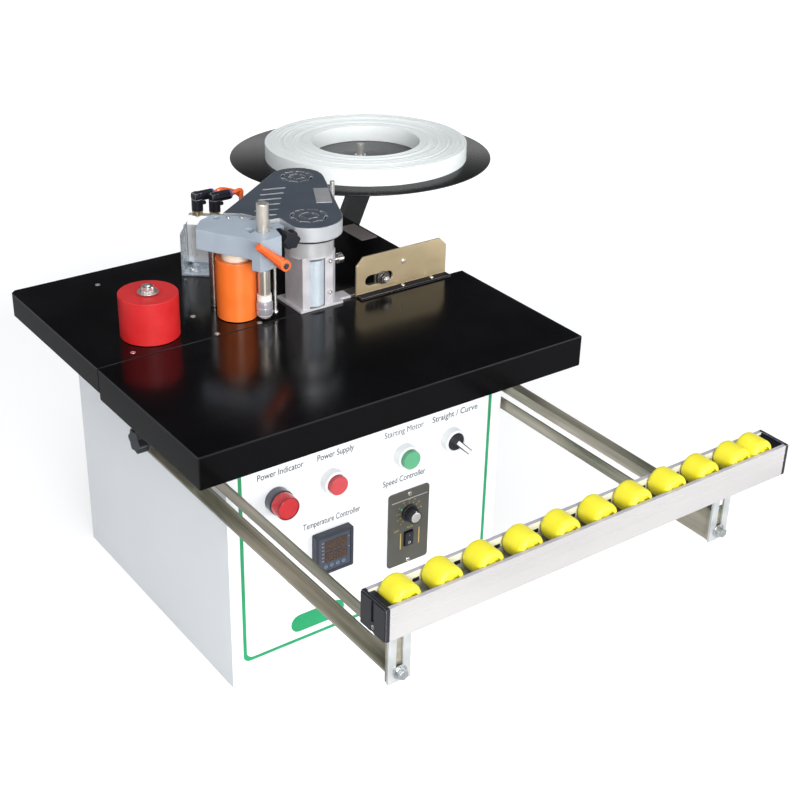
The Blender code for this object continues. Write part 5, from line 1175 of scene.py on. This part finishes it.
def studio_world():
    """White to the camera, plain grey as a light, and a pale and a dark band in mirrors."""
    world = bpy.data.worlds.new("studio")
    bpy.context.scene.world = world
    world.use_nodes = True
    sky = Nodes(world.node_tree)
    plain = sky.tree.nodes["Background"]
    plain.inputs["Color"].default_value = (0.93, 0.96, 1.0, 1)
    plain.inputs["Strength"].default_value = 0.47
    white = sky.node("ShaderNodeBackground", {"Color": (1, 1, 1, 1)})
    rays = sky.node("ShaderNodeLightPath").outputs
    seen, mirrored = rays["Is Camera Ray"], rays["Is Glossy Ray"]
    spot = sky.node("ShaderNodeTexCoord").outputs["Generated"]
    height = sky.node("ShaderNodeSeparateXYZ", {0: spot}).outputs["Z"]
    ramp = sky.node("ShaderNodeValToRGB", {0: height})
    stops = ramp.color_ramp.elements
    stops[0].position = 0.1
    stops[0].color = (0.95, 0.95, 0.95, 1)
    stops[1].position = 0.35
    stops[1].color = (0.02, 0.02, 0.022, 1)
    for place, tone in ((0.72, 0.05), (0.95, 0.6)):
        stops.new(place).color = (tone, tone, tone * 1.03, 1)
    bands = sky.node("ShaderNodeBackground", {"Color": ramp.outputs[0]})
    others = sky.node("ShaderNodeMixShader", {0: mirrored, 1: plain.outputs[0], 2: bands.outputs[0]})
    final = sky.node("ShaderNodeMixShader", {0: seen, 1: others.outputs[0], 2: white.outputs[0]})
    sky.tree.links.new(final.outputs[0], sky.tree.nodes["World Output"].inputs["Surface"])


def softbox(name, at, aim, wide, tall, power, tint=(1, 1, 1)):
    lamp = bpy.data.lights.new(name, "AREA")
    lamp.shape = "RECTANGLE"
    lamp.size, lamp.size_y = wide, tall
    lamp.energy = power
    lamp.color = tint
    made = placed(name, lamp)
    made.location = at
    made.rotation_euler = (Vector(aim) - Vector(at)).to_track_quat("-Z", "Y").to_euler()


def view_camera(at, azimuth, elevation, roll, focal):
    """A camera at a place, looking toward the object; the roll turns it about its own axis."""
    back = Vector((
        sin(azimuth) * cos(elevation), -cos(azimuth) * cos(elevation), sin(elevation)
    ))
    level = Vector((0, 0, 1)).cross(back).normalized()
    rise = back.cross(level)
    right = level * cos(roll) + rise * sin(roll)
    lens = bpy.data.cameras.new("camera")
    lens.sensor_width = 36
    lens.lens = focal
    camera = placed("camera", lens)
    pose = Matrix((right, rise * cos(roll) - level * sin(roll), back)).transposed().to_4x4()
    pose.translation = Vector(at)
    camera.matrix_world = pose
    bpy.context.scene.camera = camera


REACH, DROP = 15, -0.0003
floor_mesh = bpy.data.meshes.new("floor")
floor_corners = [(REACH * x, REACH * y, DROP) for x, y in ((-1, -1), (1, -1), (1, 1), (-1, 1))]
floor_mesh.from_pydata(floor_corners, [], [(0, 1, 2, 3)])
floor_mesh.materials.append(floor_look())
floor = placed("floor", floor_mesh)

studio_world()
AIM = (0.0, -0.1, 0.3)
softbox("key", (-0.9, -3.1, 1.3), AIM, 1.8, 1.6, 118, (1.0, 0.99, 0.975))
softbox("fill", (1.9, -2.7, 0.9), AIM, 1.8, 1.4, 32, (0.95, 0.98, 1.0))
softbox("top", (-0.5, -0.6, 2.9), AIM, 2.0, 2.0, 28)
softbox("side", (-2.4, -0.2, 2.1), (0.0, 0.1, 0.45), 1.2, 1.2, 11, (0.9, 0.95, 1.0))
view_camera((-0.8277, -1.3645, 1.1084), radians(-36.43), radians(28.48), radians(1.56), 64.7145)
bpy.context.scene.view_settings.view_transform = "Standard"

bpy.context.view_layer.update()
